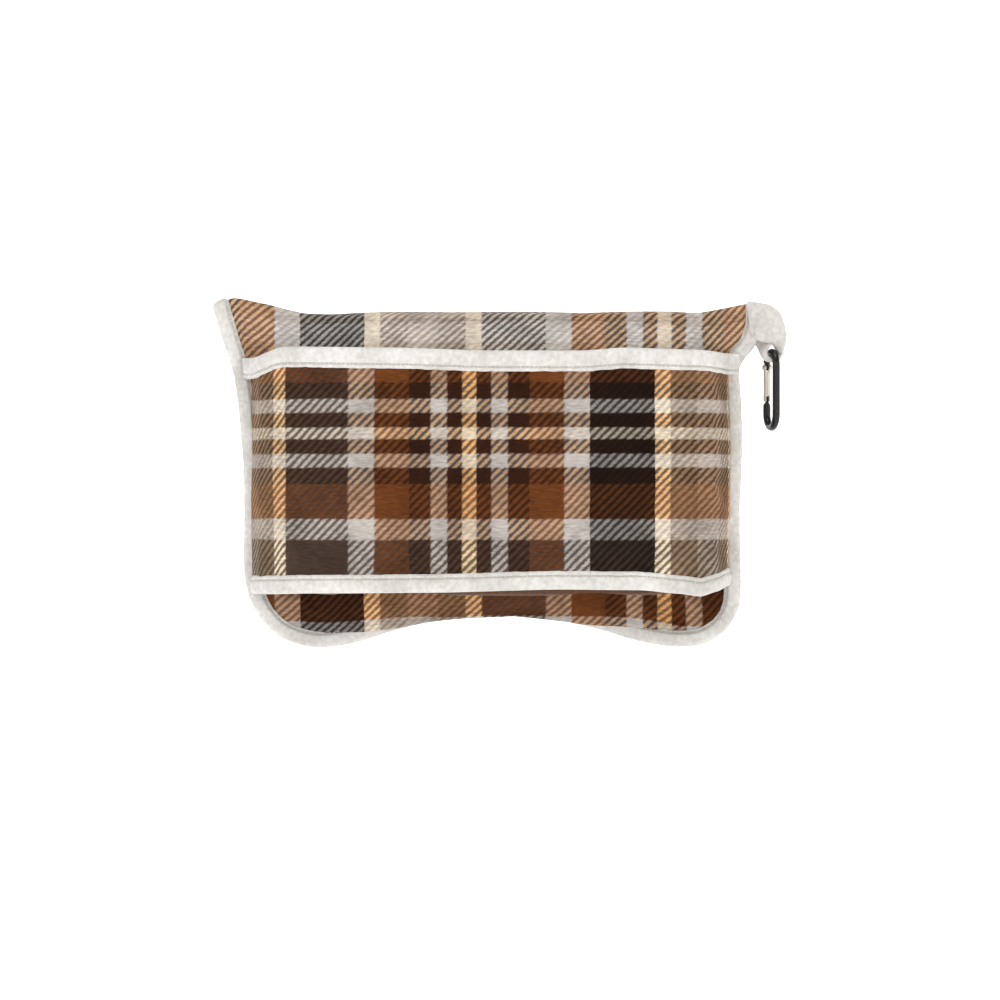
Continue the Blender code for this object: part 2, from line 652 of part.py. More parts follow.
def make_hook(loop_frame, black, bare):
    """The snap hook in its own frame: local X across it, Z up, origin at the rod's apex."""
    offset = (hook_directions()[1] * HOOK_OUT - Vector((0, 0, HOOK_DOWN))) * MM
    turn = Matrix.Rotation(HOOK_TURN, 4, "Z")
    hook = empty("hook_frame", Matrix.Translation(offset) @ turn, loop_frame)

    top, bottom = -HOOK_ARC, -(HOOK_LENGTH - HOOK_ARC)
    hinge = -GATE_HINGE_Z
    nose = hinge - GATE_LENGTH - 1.2
    across, plane = Vector((1, 0, 0)), Vector((0, 1, 0))
    path = [(-HOOK_ARC, hinge - 2.4)]
    path += [(HOOK_ARC * math.cos(a), top + HOOK_ARC * math.sin(a))
             for a in [math.pi * (1 - k / 10) for k in range(11)]]
    path += [(HOOK_ARC, lerp(top, bottom, k / 3)) for k in (1, 2)]
    path += [(HOOK_ARC * math.cos(a), bottom + HOOK_ARC * math.sin(a))
             for a in [-math.pi * k / 10 for k in range(11)]]
    path += [(-HOOK_ARC, nose), (-HOOK_ARC, nose + 5.6)]
    frames = []
    for k, (x, z) in enumerate(path):
        before, after = path[max(k - 1, 0)], path[min(k + 1, len(path) - 1)]
        along = Vector((after[0] - before[0], 0, after[1] - before[1])).normalized()
        frames.append((Vector((x, 0, z)), plane.cross(along), plane))
    body = add_object("carabiner_body", sweep(circle(ROD_RADIUS, 12), frames), black, hook)

    # The two ends are milled down to flat tongues that the gate's forks straddle.
    tongue = 1.0
    for side in (-1, 1):
        near, far = sorted((side * tongue, side * 5))
        for k, (low, high) in enumerate(((hinge - 5, hinge + 3.4), (nose, nose + 8))):
            cutter = box((-HOOK_ARC - 5, near, low), (-HOOK_ARC + 5, far, high))
            cut(body, add_object(f"tongue_cut_{k}_{side}", cutter, black, hook))
    catch = hinge - GATE_LENGTH + 2.6
    notch = box((-HOOK_ARC - 0.9, -3, catch - 1.0), (-HOOK_ARC + 6, 3, catch + 1.1))
    cut(body, add_object("nose_notch", notch, black, hook))
    pin_hole = cylinder(1.2, (-HOOK_ARC, -5, hinge), (-HOOK_ARC, 5, hinge), 12)
    cut(body, add_object("rivet_hole", pin_hole, black, hook))

    gate_frame = empty("gate_frame", Matrix.Translation(Vector((-HOOK_ARC, 0, hinge)) * MM), hook)
    gate_radius = 2.8
    gate = add_object("carabiner_gate", cylinder(gate_radius, (0, 0, 0), (0, 0, -GATE_LENGTH), 14),
                      bare, gate_frame)
    join(gate, add_object("gate_end", cylinder(gate_radius, (0, -gate_radius, 0), (0, gate_radius, 0), 14),
                          bare, gate_frame))
    cut(gate, add_object("fork_slot", box((-4, -1.3, -3.6), (4, 1.3, 4)), bare, gate_frame))
    cut(gate, add_object("nose_slot", box((-4, -1.3, -GATE_LENGTH - 2), (4, 1.3, -GATE_LENGTH + 5)),
                         bare, gate_frame))
    cut(gate, add_object("spring_bore", cylinder(1.5, (0, 0, -16), (0, 0, -3), 12), bare, gate_frame))
    cut(gate, add_object("gate_rivet_hole", cylinder(1.2, (0, -5, 0), (0, 5, 0), 12), bare, gate_frame))
    latch_z = -GATE_LENGTH + 2.6
    cut(gate, add_object("latch_hole", cylinder(0.9, (0, -5, latch_z), (0, 5, latch_z), 10),
                         bare, gate_frame))

    rivet = add_object("gate_rivet", cylinder(0.85, (-HOOK_ARC, -3.6, hinge), (-HOOK_ARC, 3.6, hinge), 12),
                       bare, hook)
    for side in (-1, 1):
        head = cylinder(1.6, (-HOOK_ARC, side * 3.1, hinge), (-HOOK_ARC, side * 3.9, hinge), 12)
        join(rivet, add_object(f"rivet_head_{side}", head, bare, hook))
    add_object("gate_latch_pin", cylinder(0.6, (0, -2.6, latch_z), (0, 2.6, latch_z), 8), bare, gate_frame)
    add_object("spring_plunger", cylinder(1.1, (0, 0, -6.4), (0, 0, -3.1), 10), bare, gate_frame)
    make_spring(gate_frame, bare)


def make_spring(gate_frame, bare):
    coil_radius, wire, turns, steps = 0.9, 0.22, 6, 10
    low, high = -15.6, -6.9
    frames = []
    for k in range(turns * steps + 1):
        angle = 2 * math.pi * k / steps
        centre = Vector((coil_radius * math.cos(angle), coil_radius * math.sin(angle),
                         lerp(low, high, k / (turns * steps))))
        frames.append((centre, Vector((math.cos(angle), math.sin(angle), 0)), Vector((0, 0, 1))))
    add_object("gate_spring", sweep(circle(wire, 4), frames), bare, gate_frame)


def main():
    clear_scene()
    plaid = material("plaid_plush", (0.17, 0.09, 0.05), 0.95)
    white = material("white_plush", (0.86, 0.84, 0.81), 0.95)
    fleece = material("blanket_fleece", (0.20, 0.12, 0.07), 0.95)
    thread = material("thread", (0.80, 0.78, 0.74), 0.7)
    nylon = material("zip_nylon", (0.74, 0.71, 0.66), 0.5)
    black = material("black_anodised_aluminium", (0.012, 0.011, 0.010), 0.25, 1.0)
    bare = material("bare_aluminium", (0.72, 0.70, 0.66), 0.3, 1.0)
    nickel = material("nickelled_zinc", (0.62, 0.61, 0.58), 0.3, 1.0)

    case = empty("case_frame", Matrix.Translation(Vector((0, SEAM_Y, -PASSAGE_Z)) * MM))
    make_panels(case, plaid)
    make_edge_binding(case, white, thread)
    make_blanket(case, fleece)
    make_sleeve(case, plaid, white, thread)
    make_zip(case, nylon, nylon, nickel, thread)
    loop_frame = make_loop(case, white, thread)
    make_hook(loop_frame, black, bare)


main()
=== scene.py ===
import json
import math

import bmesh
import bpy
from mathutils import Matrix, Vector, noise
from mathutils.bvhtree import BVHTree


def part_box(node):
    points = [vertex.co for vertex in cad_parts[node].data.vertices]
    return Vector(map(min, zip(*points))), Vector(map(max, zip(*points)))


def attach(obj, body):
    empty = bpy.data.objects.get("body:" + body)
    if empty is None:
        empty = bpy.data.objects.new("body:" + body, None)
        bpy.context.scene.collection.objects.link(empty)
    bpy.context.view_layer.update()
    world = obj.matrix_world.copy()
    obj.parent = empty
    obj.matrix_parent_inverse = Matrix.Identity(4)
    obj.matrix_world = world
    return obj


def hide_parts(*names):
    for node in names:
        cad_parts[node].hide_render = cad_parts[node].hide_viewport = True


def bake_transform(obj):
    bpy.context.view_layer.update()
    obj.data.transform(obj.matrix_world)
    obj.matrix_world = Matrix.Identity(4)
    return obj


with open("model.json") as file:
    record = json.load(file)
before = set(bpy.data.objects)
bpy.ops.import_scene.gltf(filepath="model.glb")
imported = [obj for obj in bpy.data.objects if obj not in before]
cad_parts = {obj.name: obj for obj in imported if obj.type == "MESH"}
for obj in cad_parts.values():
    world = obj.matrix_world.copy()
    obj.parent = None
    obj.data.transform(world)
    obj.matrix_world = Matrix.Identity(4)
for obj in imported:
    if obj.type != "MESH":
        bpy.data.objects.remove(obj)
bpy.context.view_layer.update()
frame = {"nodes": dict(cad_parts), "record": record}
print("frame loaded")

# The case is measured in millimetres: x from its middle, y back from the side seams' plane,
# z up from its lowest edge. These give the place of that corner in the frame.
seamPlane = 55.0
lowestEdge = -143.0


def place(point):
    x, y, z = point
    return Vector((x / 1000, (y + seamPlane) / 1000, (z + lowestEdge) / 1000))


def onCase(spot):
    # The other way round: a place in the frame, in the case's millimetres.
    return Vector((spot.x * 1000, spot.y * 1000 - seamPlane, spot.z * 1000 - lowestEdge))


def clamp01(value):
    return max(0.0, min(1.0, value))


def lerp(a, b, k):
    return a + (b - a) * k


def ease(value, low, high):
    k = clamp01((value - low) / (high - low))
    return k * k * (3 - 2 * k)


def smoothLine(points, steps=8):
    # A smooth line through the points, as closely spaced vectors.
    points = [Vector(p) for p in points]
    padded = [points[0] * 2 - points[1]] + points + [points[-1] * 2 - points[-2]]
    line = []
    for a, b, c, d in zip(padded, padded[1:], padded[2:], padded[3:]):
        for k in range(steps):
            t = k / steps
            line.append(0.5 * (2 * b + (c - a) * t + (2 * a - 5 * b + 4 * c - d) * t * t
                               + (3 * b - a - 3 * c + d) * t ** 3))
    return line + [points[-1]]


def evenly(line, count):
    # The same line as count + 1 points at even distances along it.
    lengths = [0.0]
    for a, b in zip(line, line[1:]):
        lengths.append(lengths[-1] + (b - a).length)
    total, out, k = lengths[-1], [], 0
    for n in range(count + 1):
        want = total * n / count
        while k < len(line) - 2 and lengths[k + 1] < want:
            k += 1
        span = lengths[k + 1] - lengths[k]
        out.append(line[k].lerp(line[k + 1], clamp01((want - lengths[k]) / span) if span else 0))
    return out


def at(line, t):
    # The point a share t of the way through a list of evenly spaced points.
    spot = clamp01(t) * (len(line) - 1)
    k = min(int(spot), len(line) - 2)
    return line[k].lerp(line[k + 1], spot - k)


def finishPiece(name, bm, material, body, smooth=True):
    mesh = bpy.data.meshes.new(name)
    bm.to_mesh(mesh)
    bm.free()
    mesh.materials.append(material)
    piece = bpy.data.objects.new(name, mesh)
    bpy.context.scene.collection.objects.link(piece)
    if smooth:
        mesh.shade_smooth()
    if body:
        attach(piece, body)
    return piece


def gridMesh(rows, uvs=None, wrap=False):
    # Quads between rows of points. uvs has a (u, v) for each point.
    bm = bmesh.new()
    made = [[bm.verts.new(p) for p in row] for row in rows]
    layer = bm.loops.layers.uv.new("cloth") if uvs else None
    across = len(rows[0])
    for r in range(len(rows) - 1):
        for c in range(across if wrap else across - 1):
            n = (c + 1) % across
            corners = ((r, c), (r, n), (r + 1, n), (r + 1, c))
            face = bm.faces.new([made[i][j] for i, j in corners])
            face.smooth = True
            if layer:
                for loop, (i, j) in zip(face.loops, corners):
                    loop[layer].uv = uvs[i][j]
    return bm, made


def addNode(tree, kind, settings=None, links=None):
    # Adds a node, sets its properties and sockets, and links its inputs.
    node = tree.nodes.new(kind)
    for key, value in (settings or {}).items():
        if isinstance(key, str) and hasattr(node, key):
            setattr(node, key, value)
        else:
            node.inputs[key].default_value = value
    for key, source in (links or {}).items():
        tree.links.new(source, node.inputs[key])
    return node


def colour(hexValue):
    # sRGB hex to linear RGBA.
    parts = [int(hexValue[k:k + 2], 16) / 255 for k in (1, 3, 5)]
    linear = [p / 12.92 if p <= 0.04045 else ((p + 0.055) / 1.055) ** 2.4 for p in parts]
    return (*linear, 1.0)


def newMaterial(name, settings):
    material = bpy.data.materials.new(name)
    material.use_nodes = True
    tree = material.node_tree
    shader = tree.nodes["Principled BSDF"]
    for key, value in settings.items():
        shader.inputs[key].default_value = value
    return material, tree, shader


# Printed plush: a knitted polyester velour with a pile about 2 mm deep. The dyes are printed
# on the pile tips, so stripe edges are a little ragged and neighbouring dyes run together.
plaid = {
    "upright": [(0, "gold"), (5.6, "umber"), (17.6, "light"), (30.4, "umber"), (47.6, "rust"),
                (75.2, "light"), (95.6, "grey brown"), (147.2, "cream"), (160, "beige"),
                (182.4, "pink"), (194.4, "pink")],  # start of each stripe in mm, to the mirror line
    "across": [(0, "ivory"), (4.6, "umber"), (16.4, "light"), (27, "umber"), (40.3, "rust"),
               (68, "light"), (84.4, "grey brown"), (125.6, "ivory"), (136, "oyster"),
               (155.2, "shell"), (165.6, "shell")],
    "twill mm": 6.8,  # spacing of the printed diagonal lines
    "colours": {"ivory": "#bfb4a4", "cream": "#dccaae", "gold": "#d2ba95", "umber": "#2b1508",
                "light": "#a9a29c", "rust": "#5e3417", "grey brown": "#40322a",
                "shaded grey brown": "#180f09", "beige": "#84705a", "pink": "#9c8c7d",
                "oyster": "#c3b9ae", "shell": "#cfc8c2"},
    "shaded stripe middle mm": 121.4,  # every other grey brown stripe is painted a deeper brown, as shade
    "line share": 0.87,  # how much of a diagonal line is its own stripe's dye
    "stain": (1.02, 0.72, 0.47, 1.0),  # light dyes turn peach where they cross warm dark ones
}


def plaidPlush():
    material, tree, shader = newMaterial("printedPlushVelour", {
        "Roughness": 0.95, "Sheen Weight": 0.1, "Sheen Roughness": 0.45,
        "Sheen Tint": colour("#e8d9c8"), "Specular IOR Level": 0.1,
    })
    uv = addNode(tree, "ShaderNodeUVMap", {"uv_map": "cloth"})
    # The pile leans here and there, which frays the stripe edges by a third of a millimetre.
    fray = addNode(tree, "ShaderNodeTexNoise", {"Scale": 700.0, "Detail": 1.0},
                   {"Vector": uv.outputs["UV"]})
    wander = addNode(tree, "ShaderNodeTexNoise", {"Scale": 60.0, "Detail": 2.0},
                     {"Vector": uv.outputs["UV"]})
    frayed = addNode(tree, "ShaderNodeVectorMath", {"operation": "MULTIPLY_ADD",
                     1: (0.0017, 0.0017, 0.0)},
                     {0: fray.outputs["Color"], 2: uv.outputs["UV"]})
    moved = addNode(tree, "ShaderNodeVectorMath", {"operation": "MULTIPLY_ADD",
                    1: (0.0014, 0.0014, 0.0)},
                    {0: wander.outputs["Color"], 2: frayed.outputs["Vector"]})
    split = addNode(tree, "ShaderNodeSeparateXYZ", {}, {"Vector": moved.outputs["Vector"]})

    dyes = []
    for axis, run in (("X", plaid["upright"]), ("Y", plaid["across"])):
        half = run[-1][0] / 1000
        folded = addNode(tree, "ShaderNodeMath", {"operation": "PINGPONG", 1: half},
                         {0: split.outputs[axis]})
        share = addNode(tree, "ShaderNodeMath", {"operation": "DIVIDE", 1: half},
                        {0: folded.outputs[0]})
        ramp = addNode(tree, "ShaderNodeValToRGB", {}, {"Fac": share.outputs[0]})
        band = ramp.color_ramp
        band.interpolation = "LINEAR"
        band.elements.remove(band.elements[-1])
        soft = 0.0005 / half
        band.elements[0].position = 0.0
        band.elements[0].color = colour(plaid["colours"][run[0][1]])
        for (start, before), (_, after) in zip([(r[0], p[1]) for p, r in zip(run, run[1:-1])],
                                               run[1:-1]):
            spot = start / 1000 / half
            band.elements.new(spot - soft).color = colour(plaid["colours"][before])
            band.elements.new(spot + soft).color = colour(plaid["colours"][after])
        dyes.append(ramp.outputs["Color"])
    # Painted shade: every other grey brown stripe gets a deeper brown, which stands for the shadow
    # on it.
    cycle = 2 * plaid["upright"][-1][0] / 1000
    turned = addNode(tree, "ShaderNodeMath", {"operation": "FLOORED_MODULO", 1: cycle},
                     {0: split.outputs["X"]})
    shadedStripe = addNode(tree, "ShaderNodeMath", {"operation": "COMPARE",
                     1: plaid["shaded stripe middle mm"] / 1000, 2: 0.0258}, {0: turned.outputs[0]})
    upright = addNode(tree, "ShaderNodeMix", {"data_type": "RGBA",
                      7: colour(plaid["colours"]["shaded grey brown"])},
                      {0: shadedStripe.outputs[0], 6: dyes[0]})
    dyes[0] = upright.outputs[2]

    # Twill: diagonal lines show the upright stripe's dye, the gaps show the crossing one's.
    lean = addNode(tree, "ShaderNodeMath", {"operation": "SUBTRACT"},
                   {0: split.outputs["X"], 1: split.outputs["Y"]})
    turn = addNode(tree, "ShaderNodeMath", {"operation": "MULTIPLY",
                   1: 2 * math.pi / (plaid["twill mm"] / 1000)}, {0: lean.outputs[0]})
    wave = addNode(tree, "ShaderNodeMath", {"operation": "SINE"}, {0: turn.outputs[0]})
    line = addNode(tree, "ShaderNodeMapRange", {"interpolation_type": "SMOOTHSTEP",
                   "From Min": -0.6, "From Max": 0.6, "To Min": 1 - plaid["line share"],
                   "To Max": plaid["line share"]}, {"Value": wave.outputs[0]})
    printed = addNode(tree, "ShaderNodeMix", {"data_type": "RGBA"},
                      {0: line.outputs["Result"], 6: dyes[0], 7: dyes[1]})
    # Where a light dye crosses rust or umber its lines are stained peach.
    crossed = addNode(tree, "ShaderNodeMix",
                      {"data_type": "RGBA", "blend_type": "MULTIPLY", 0: 1.0},
                      {6: dyes[0], 7: dyes[1]})
    parts = addNode(tree, "ShaderNodeSeparateColor", {}, {"Color": crossed.outputs[2]})
    warmth = addNode(tree, "ShaderNodeMath", {"operation": "DIVIDE"},
                     {0: parts.outputs["Red"], 1: parts.outputs["Blue"]})
    warm = addNode(tree, "ShaderNodeMapRange", {"interpolation_type": "SMOOTHSTEP",
                   "From Min": 3.9, "From Max": 8.0}, {"Value": warmth.outputs[0]})
    bright = addNode(tree, "ShaderNodeRGBToBW", {}, {0: printed.outputs[2]})
    pale = addNode(tree, "ShaderNodeMapRange", {"interpolation_type": "SMOOTHSTEP",
                   "From Min": 0.06, "From Max": 0.26}, {"Value": bright.outputs[0]})
    stainShare = addNode(tree, "ShaderNodeMath", {"operation": "MULTIPLY"},
                         {0: warm.outputs["Result"], 1: pale.outputs["Result"]})
    stained = addNode(tree, "ShaderNodeMix", {"data_type": "RGBA", "blend_type": "MULTIPLY",
                      7: plaid["stain"]}, {0: stainShare.outputs[0], 6: printed.outputs[2]})

    # Painted shade: that shaded stripe is also dimmed to six tenths.
    dim = addNode(tree, "ShaderNodeMapRange", {"To Min": 1.0, "To Max": 0.6},
                  {"Value": shadedStripe.outputs[0]})

    # The pile catches the light in patches, and its rows show as faint level lines.
    rows = addNode(tree, "ShaderNodeMapping", {"Scale": (140.0, 620.0, 1.0)},
                   {"Vector": uv.outputs["UV"]})
    rowNoise = addNode(tree, "ShaderNodeTexNoise", {"Scale": 1.0, "Detail": 3.0},
                       {"Vector": rows.outputs["Vector"]})
    patches = addNode(tree, "ShaderNodeTexNoise", {"Scale": 34.0, "Detail": 3.0},
                      {"Vector": uv.outputs["UV"]})
    both = addNode(tree, "ShaderNodeMath", {"operation": "ADD"},
                   {0: rowNoise.outputs["Fac"], 1: patches.outputs["Fac"]})
    shade = addNode(tree, "ShaderNodeMapRange", {"From Min": 0.7, "From Max": 1.3,
                    "To Min": 0.64, "To Max": 1.36}, {"Value": both.outputs[0]})
    level = addNode(tree, "ShaderNodeMath", {"operation": "MULTIPLY"},
                    {0: shade.outputs["Result"], 1: dim.outputs["Result"]})
    final = addNode(tree, "ShaderNodeVectorMath", {"operation": "SCALE"},
                    {0: stained.outputs[2], "Scale": level.outputs[0]})
    tree.links.new(final.outputs["Vector"], shader.inputs["Base Color"])
    addPile(tree, shader, uv.outputs["UV"], 1.0, rowNoise.outputs["Fac"])
    return material


def addPile(tree, shader, coordinates, depth, extra=None):
    # Pile tips are about 0.5 mm apart; they are drawn at 1.2 mm so that they show.
    tips = addNode(tree, "ShaderNodeTexNoise", {"Scale": 820.0, "Detail": 2.0, "Roughness": 0.6},
                   {"Vector": coordinates})
    tufts = addNode(tree, "ShaderNodeTexNoise", {"Scale": 210.0, "Detail": 2.0},
                    {"Vector": coordinates})
    height = addNode(tree, "ShaderNodeMath", {"operation": "ADD"},
                     {0: tips.outputs["Fac"], 1: tufts.outputs["Fac"]})
    if extra:
        height = addNode(tree, "ShaderNodeMath", {"operation": "ADD"},
                         {0: height.outputs[0], 1: extra})
    bump = addNode(tree, "ShaderNodeBump", {"Strength": 0.55, "Distance": 0.0012 * depth},
                   {"Height": height.outputs[0]})
    tree.links.new(bump.outputs["Normal"], shader.inputs["Normal"])


def whitePlush():
    # Undyed plush velour: soft white, deeper and warmer in random patches, which are painted shade
    # between its tufts.
    material, tree, shader = newMaterial("whitePlushVelour", {
        "Roughness": 0.95, "Sheen Weight": 0.3, "Sheen Roughness": 0.5,
        "Specular IOR Level": 0.2,
    })
    spot = addNode(tree, "ShaderNodeTexCoord")
    tufts = addNode(tree, "ShaderNodeTexNoise", {"Scale": 260.0, "Detail": 3.0},
                    {"Vector": spot.outputs["Object"]})
    cloudy = addNode(tree, "ShaderNodeTexNoise", {"Scale": 28.0, "Detail": 2.0},
                     {"Vector": spot.outputs["Object"]})
    both = addNode(tree, "ShaderNodeMath", {"operation": "ADD"},
                   {0: tufts.outputs["Fac"], 1: cloudy.outputs["Fac"]})
    tone = addNode(tree, "ShaderNodeMapRange", {"From Min": 0.7, "From Max": 1.3},
                   {"Value": both.outputs[0]})
    # Painted shade: the deeper colour stands for the shade between the tufts.
    mixed = addNode(tree, "ShaderNodeMix", {"data_type": "RGBA", 6: colour("#bfbbb5"),
                    7: colour("#dedcd8")}, {0: tone.outputs["Result"]})
    tree.links.new(mixed.outputs[2], shader.inputs["Base Color"])
    addPile(tree, shader, spot.outputs["Object"], 0.9)
    return material


def fleece():
    # Brushed polyester fleece: matt, with a napped surface.
    material, tree, shader = newMaterial("brushedFleece", {"Roughness": 0.96, "Sheen Weight": 0.3})
    spot = addNode(tree, "ShaderNodeTexCoord")
    nap = addNode(tree, "ShaderNodeTexNoise", {"Scale": 300.0, "Detail": 4.0},
                  {"Vector": spot.outputs["Object"]})
    mixed = addNode(tree, "ShaderNodeMix", {"data_type": "RGBA", 6: colour("#43291a"),
                    7: colour("#6d4527")}, {0: nap.outputs["Fac"]})
    tree.links.new(mixed.outputs[2], shader.inputs["Base Color"])
    addPile(tree, shader, spot.outputs["Object"], 0.8)
    return material


def sewingThread():
    # Spun polyester thread: two plies, so fine slanting lines.
    material, tree, shader = newMaterial("spunPolyesterThread", {"Roughness": 0.6})
    spot = addNode(tree, "ShaderNodeTexCoord")
    plies = addNode(tree, "ShaderNodeTexWave", {"wave_type": "BANDS", "bands_direction": "DIAGONAL",
                    "Scale": 700.0, "Distortion": 1.0}, {"Vector": spot.outputs["Object"]})
    mixed = addNode(tree, "ShaderNodeMix", {"data_type": "RGBA", 6: colour("#a89f91"),
                    7: colour("#d2ccc0")}, {0: plies.outputs["Fac"]})
    tree.links.new(mixed.outputs[2], shader.inputs["Base Color"])
    bump = addNode(tree, "ShaderNodeBump", {"Strength": 0.5, "Distance": 0.0002},
                   {"Height": plies.outputs["Fac"]})
    tree.links.new(bump.outputs["Normal"], shader.inputs["Normal"])
    return material


def zipTape():
    # Woven polyester tape: a fine herringbone of 0.6 mm yarns.
    material, tree, shader = newMaterial("wovenPolyesterTape", {"Roughness": 0.75})
    spot = addNode(tree, "ShaderNodeTexCoord")
    weft = addNode(tree, "ShaderNodeTexWave", {"bands_direction": "X", "Scale": 520.0,
                   "Distortion": 0.4}, {"Vector": spot.outputs["Object"]})
    warp = addNode(tree, "ShaderNodeTexWave", {"bands_direction": "Z", "Scale": 520.0,
                   "Distortion": 0.4}, {"Vector": spot.outputs["Object"]})
    weave = addNode(tree, "ShaderNodeMath", {"operation": "MULTIPLY"},
                    {0: weft.outputs["Fac"], 1: warp.outputs["Fac"]})
    mixed = addNode(tree, "ShaderNodeMix", {"data_type": "RGBA", 6: colour("#c3b8a8"),
                    7: colour("#e6dfd2")}, {0: weave.outputs[0]})
    tree.links.new(mixed.outputs[2], shader.inputs["Base Color"])
    bump = addNode(tree, "ShaderNodeBump", {"Strength": 0.6, "Distance": 0.0003},
                   {"Height": weave.outputs[0]})
    tree.links.new(bump.outputs["Normal"], shader.inputs["Normal"])
    return material


def metal(name, settings, dark, light, scale, scratch):
    # A metal whose tone and roughness wander a little, with fine handling marks.
    material, tree, shader = newMaterial(name, settings)
    spot = addNode(tree, "ShaderNodeTexCoord")
    cloudy = addNode(tree, "ShaderNodeTexNoise", {"Scale": scale, "Detail": 4.0},
                     {"Vector": spot.outputs["Object"]})
    mixed = addNode(tree, "ShaderNodeMix", {"data_type": "RGBA", 6: colour(dark),
                    7: colour(light)}, {0: cloudy.outputs["Fac"]})
    tree.links.new(mixed.outputs[2], shader.inputs["Base Color"])
    base = settings["Roughness"]
    rough = addNode(tree, "ShaderNodeMapRange", {"To Min": base * 0.8, "To Max": base * 1.25},
                    {"Value": cloudy.outputs["Fac"]})
    tree.links.new(rough.outputs["Result"], shader.inputs["Roughness"])
    stretched = addNode(tree, "ShaderNodeMapping", {"Scale": (900.0, 900.0, 60.0)},
                        {"Vector": spot.outputs["Object"]})
    marks = addNode(tree, "ShaderNodeTexNoise", {"Scale": 1.0, "Detail": 2.0},
                    {"Vector": stretched.outputs["Vector"]})
    bump = addNode(tree, "ShaderNodeBump", {"Strength": scratch, "Distance": 0.0001},
                   {"Height": marks.outputs["Fac"]})
    tree.links.new(bump.outputs["Normal"], shader.inputs["Normal"])
    return material


plaidCloth = plaidPlush()
whiteCloth = whitePlush()
fleeceCloth = fleece()
thread = sewingThread()
tapeCloth = zipTape()
nylon = metal("mouldedNylon", {"Roughness": 0.42, "Metallic": 0.0}, "#cfc6b6", "#e6dfd0", 90.0, 0.1)
blackMetal = metal("glossAnodisedAluminium", {"Roughness": 0.22, "Metallic": 0.0,
                   "Coat Weight": 0.12, "Coat Roughness": 0.08,
                   "Specular IOR Level": 0.28}, "#0b0a09", "#1b1917", 60.0, 0.08)
bareMetal = metal("satinAluminium", {"Roughness": 0.34, "Metallic": 1.0},
                  "#b5ab9c", "#dcd5c8", 80.0, 0.25)
nickel = metal("satinNickelPlate", {"Roughness": 0.3, "Metallic": 1.0},
               "#9a958c", "#c5c0b6", 120.0, 0.15)
print("materials made")

# The seam line seen from the front, as (x, z), from the top left corner down the left side,
# along the bottom and up the right side. The bottom corners are where its thirds meet.
seam = {
    "left": [(-214, 281), (-209.5, 266), (-203.5, 246), (-195.5, 220), (-191, 184),
             (-188, 144), (-187.3, 104), (-188, 72), (-185.5, 50), (-177, 31)],
    "bottom": [(-177, 31), (-165, 19.5), (-148, 13), (-132, 11.8), (-108, 16), (-80, 25),
               (-45, 33), (0, 37), (50, 34), (90, 26), (120, 17), (148, 12.5), (168, 14),
               (181, 21)],
    "right": [(181, 21), (189, 33), (191.5, 52), (190.8, 80), (190.8, 120), (192.5, 160),
              (191.5, 200), (190, 225), (195, 238), (204, 249), (208.5, 262), (208.5, 279.5)],
    "top": [(-214, 281), (-205, 283.5), (-180, 278), (-152, 270.8), (-120, 269.6), (-80, 271.4),
            (-30, 270), (20, 270.8), (70, 269.6), (120, 270.8), (165, 270.6), (190, 275.5),
            (208.5, 279.5)],
}
line = {key: evenly([Vector((x, 0, z)) for x, _, z in smoothLine([(x, 0, z) for x, z in run])], 120)
        for key, run in seam.items()}
line["left"].reverse()  # from the bottom corner up

case = {
    "front depth": 42.0,
    "back depth": 42.0,
    "half width": 189.5,
    "flat back": 150.0,  # the back is evenly deep this far from the middle, where the zip is
    "belly drop": 23.0,  # the stuffing hangs this far below the seam in the middle
    "fold height": 130.0,
    "columns": 112,
    "rows": 84,
}


def outlinePoint(s, t):
    # Fills the outline: s from left to right, t from the bottom seam to the top fold.
    left, right = at(line["left"], t), at(line["right"], t)
    low, high = at(line["bottom"], s), at(line["top"], s)
    corners = (line["bottom"][0] * (1 - s) * (1 - t) + line["bottom"][-1] * s * (1 - t)
               + line["top"][0] * (1 - s) * t + line["top"][-1] * s * t)
    return left * (1 - s) + right * s + low * (1 - t) + high * t - corners


def casePoint(s, t, side):
    # Outer face of the case: side is -1 at the front and 1 at the back.
    point = outlinePoint(s, t)
    ridge = at(line["top"], s).z
    q = abs(2 * s - 1)
    if side < 0:
        depth = case["front depth"] * (1 - q ** 4)
    else:
        rounded = case["half width"] - case["flat back"]
        past = clamp01((abs(point.x) - case["flat back"]) / rounded)
        depth = case["back depth"] * (1 - max(past, q ** 12) ** 2.5)
    above = clamp01((point.z - case["fold height"]) / (ridge - case["fold height"]))
    rise = (1 - (1 - t) ** 6) ** 0.8
    grown = depth * rise * math.sqrt(max(0.0, 1 - above ** 2.6))
    middle = 1 - ease(abs(point.x), 70, 150)
    drop = case["belly drop"] * (1.0 if side < 0 else 0.55) * middle
    drop *= (1 - math.exp(-grown / 6)) * max(0.0, 1 - t / 0.4) ** 2
    return Vector((point.x, side * grown, point.z - drop))


# The upright stripes are counted from the middle of a gold one and the crossing stripes from
# the middle of a cream one. These are the distances in mm that set where the cloths lie.
plaidPlace = {"body x": 246.8, "body fold": -141.5, "sleeve x": 14.4, "sleeve z": -174.4}


def arcLengths(points):
    run = [0.0]
    for a, b in zip(points, points[1:]):
        run.append(run[-1] + (b - a).length)
    return run


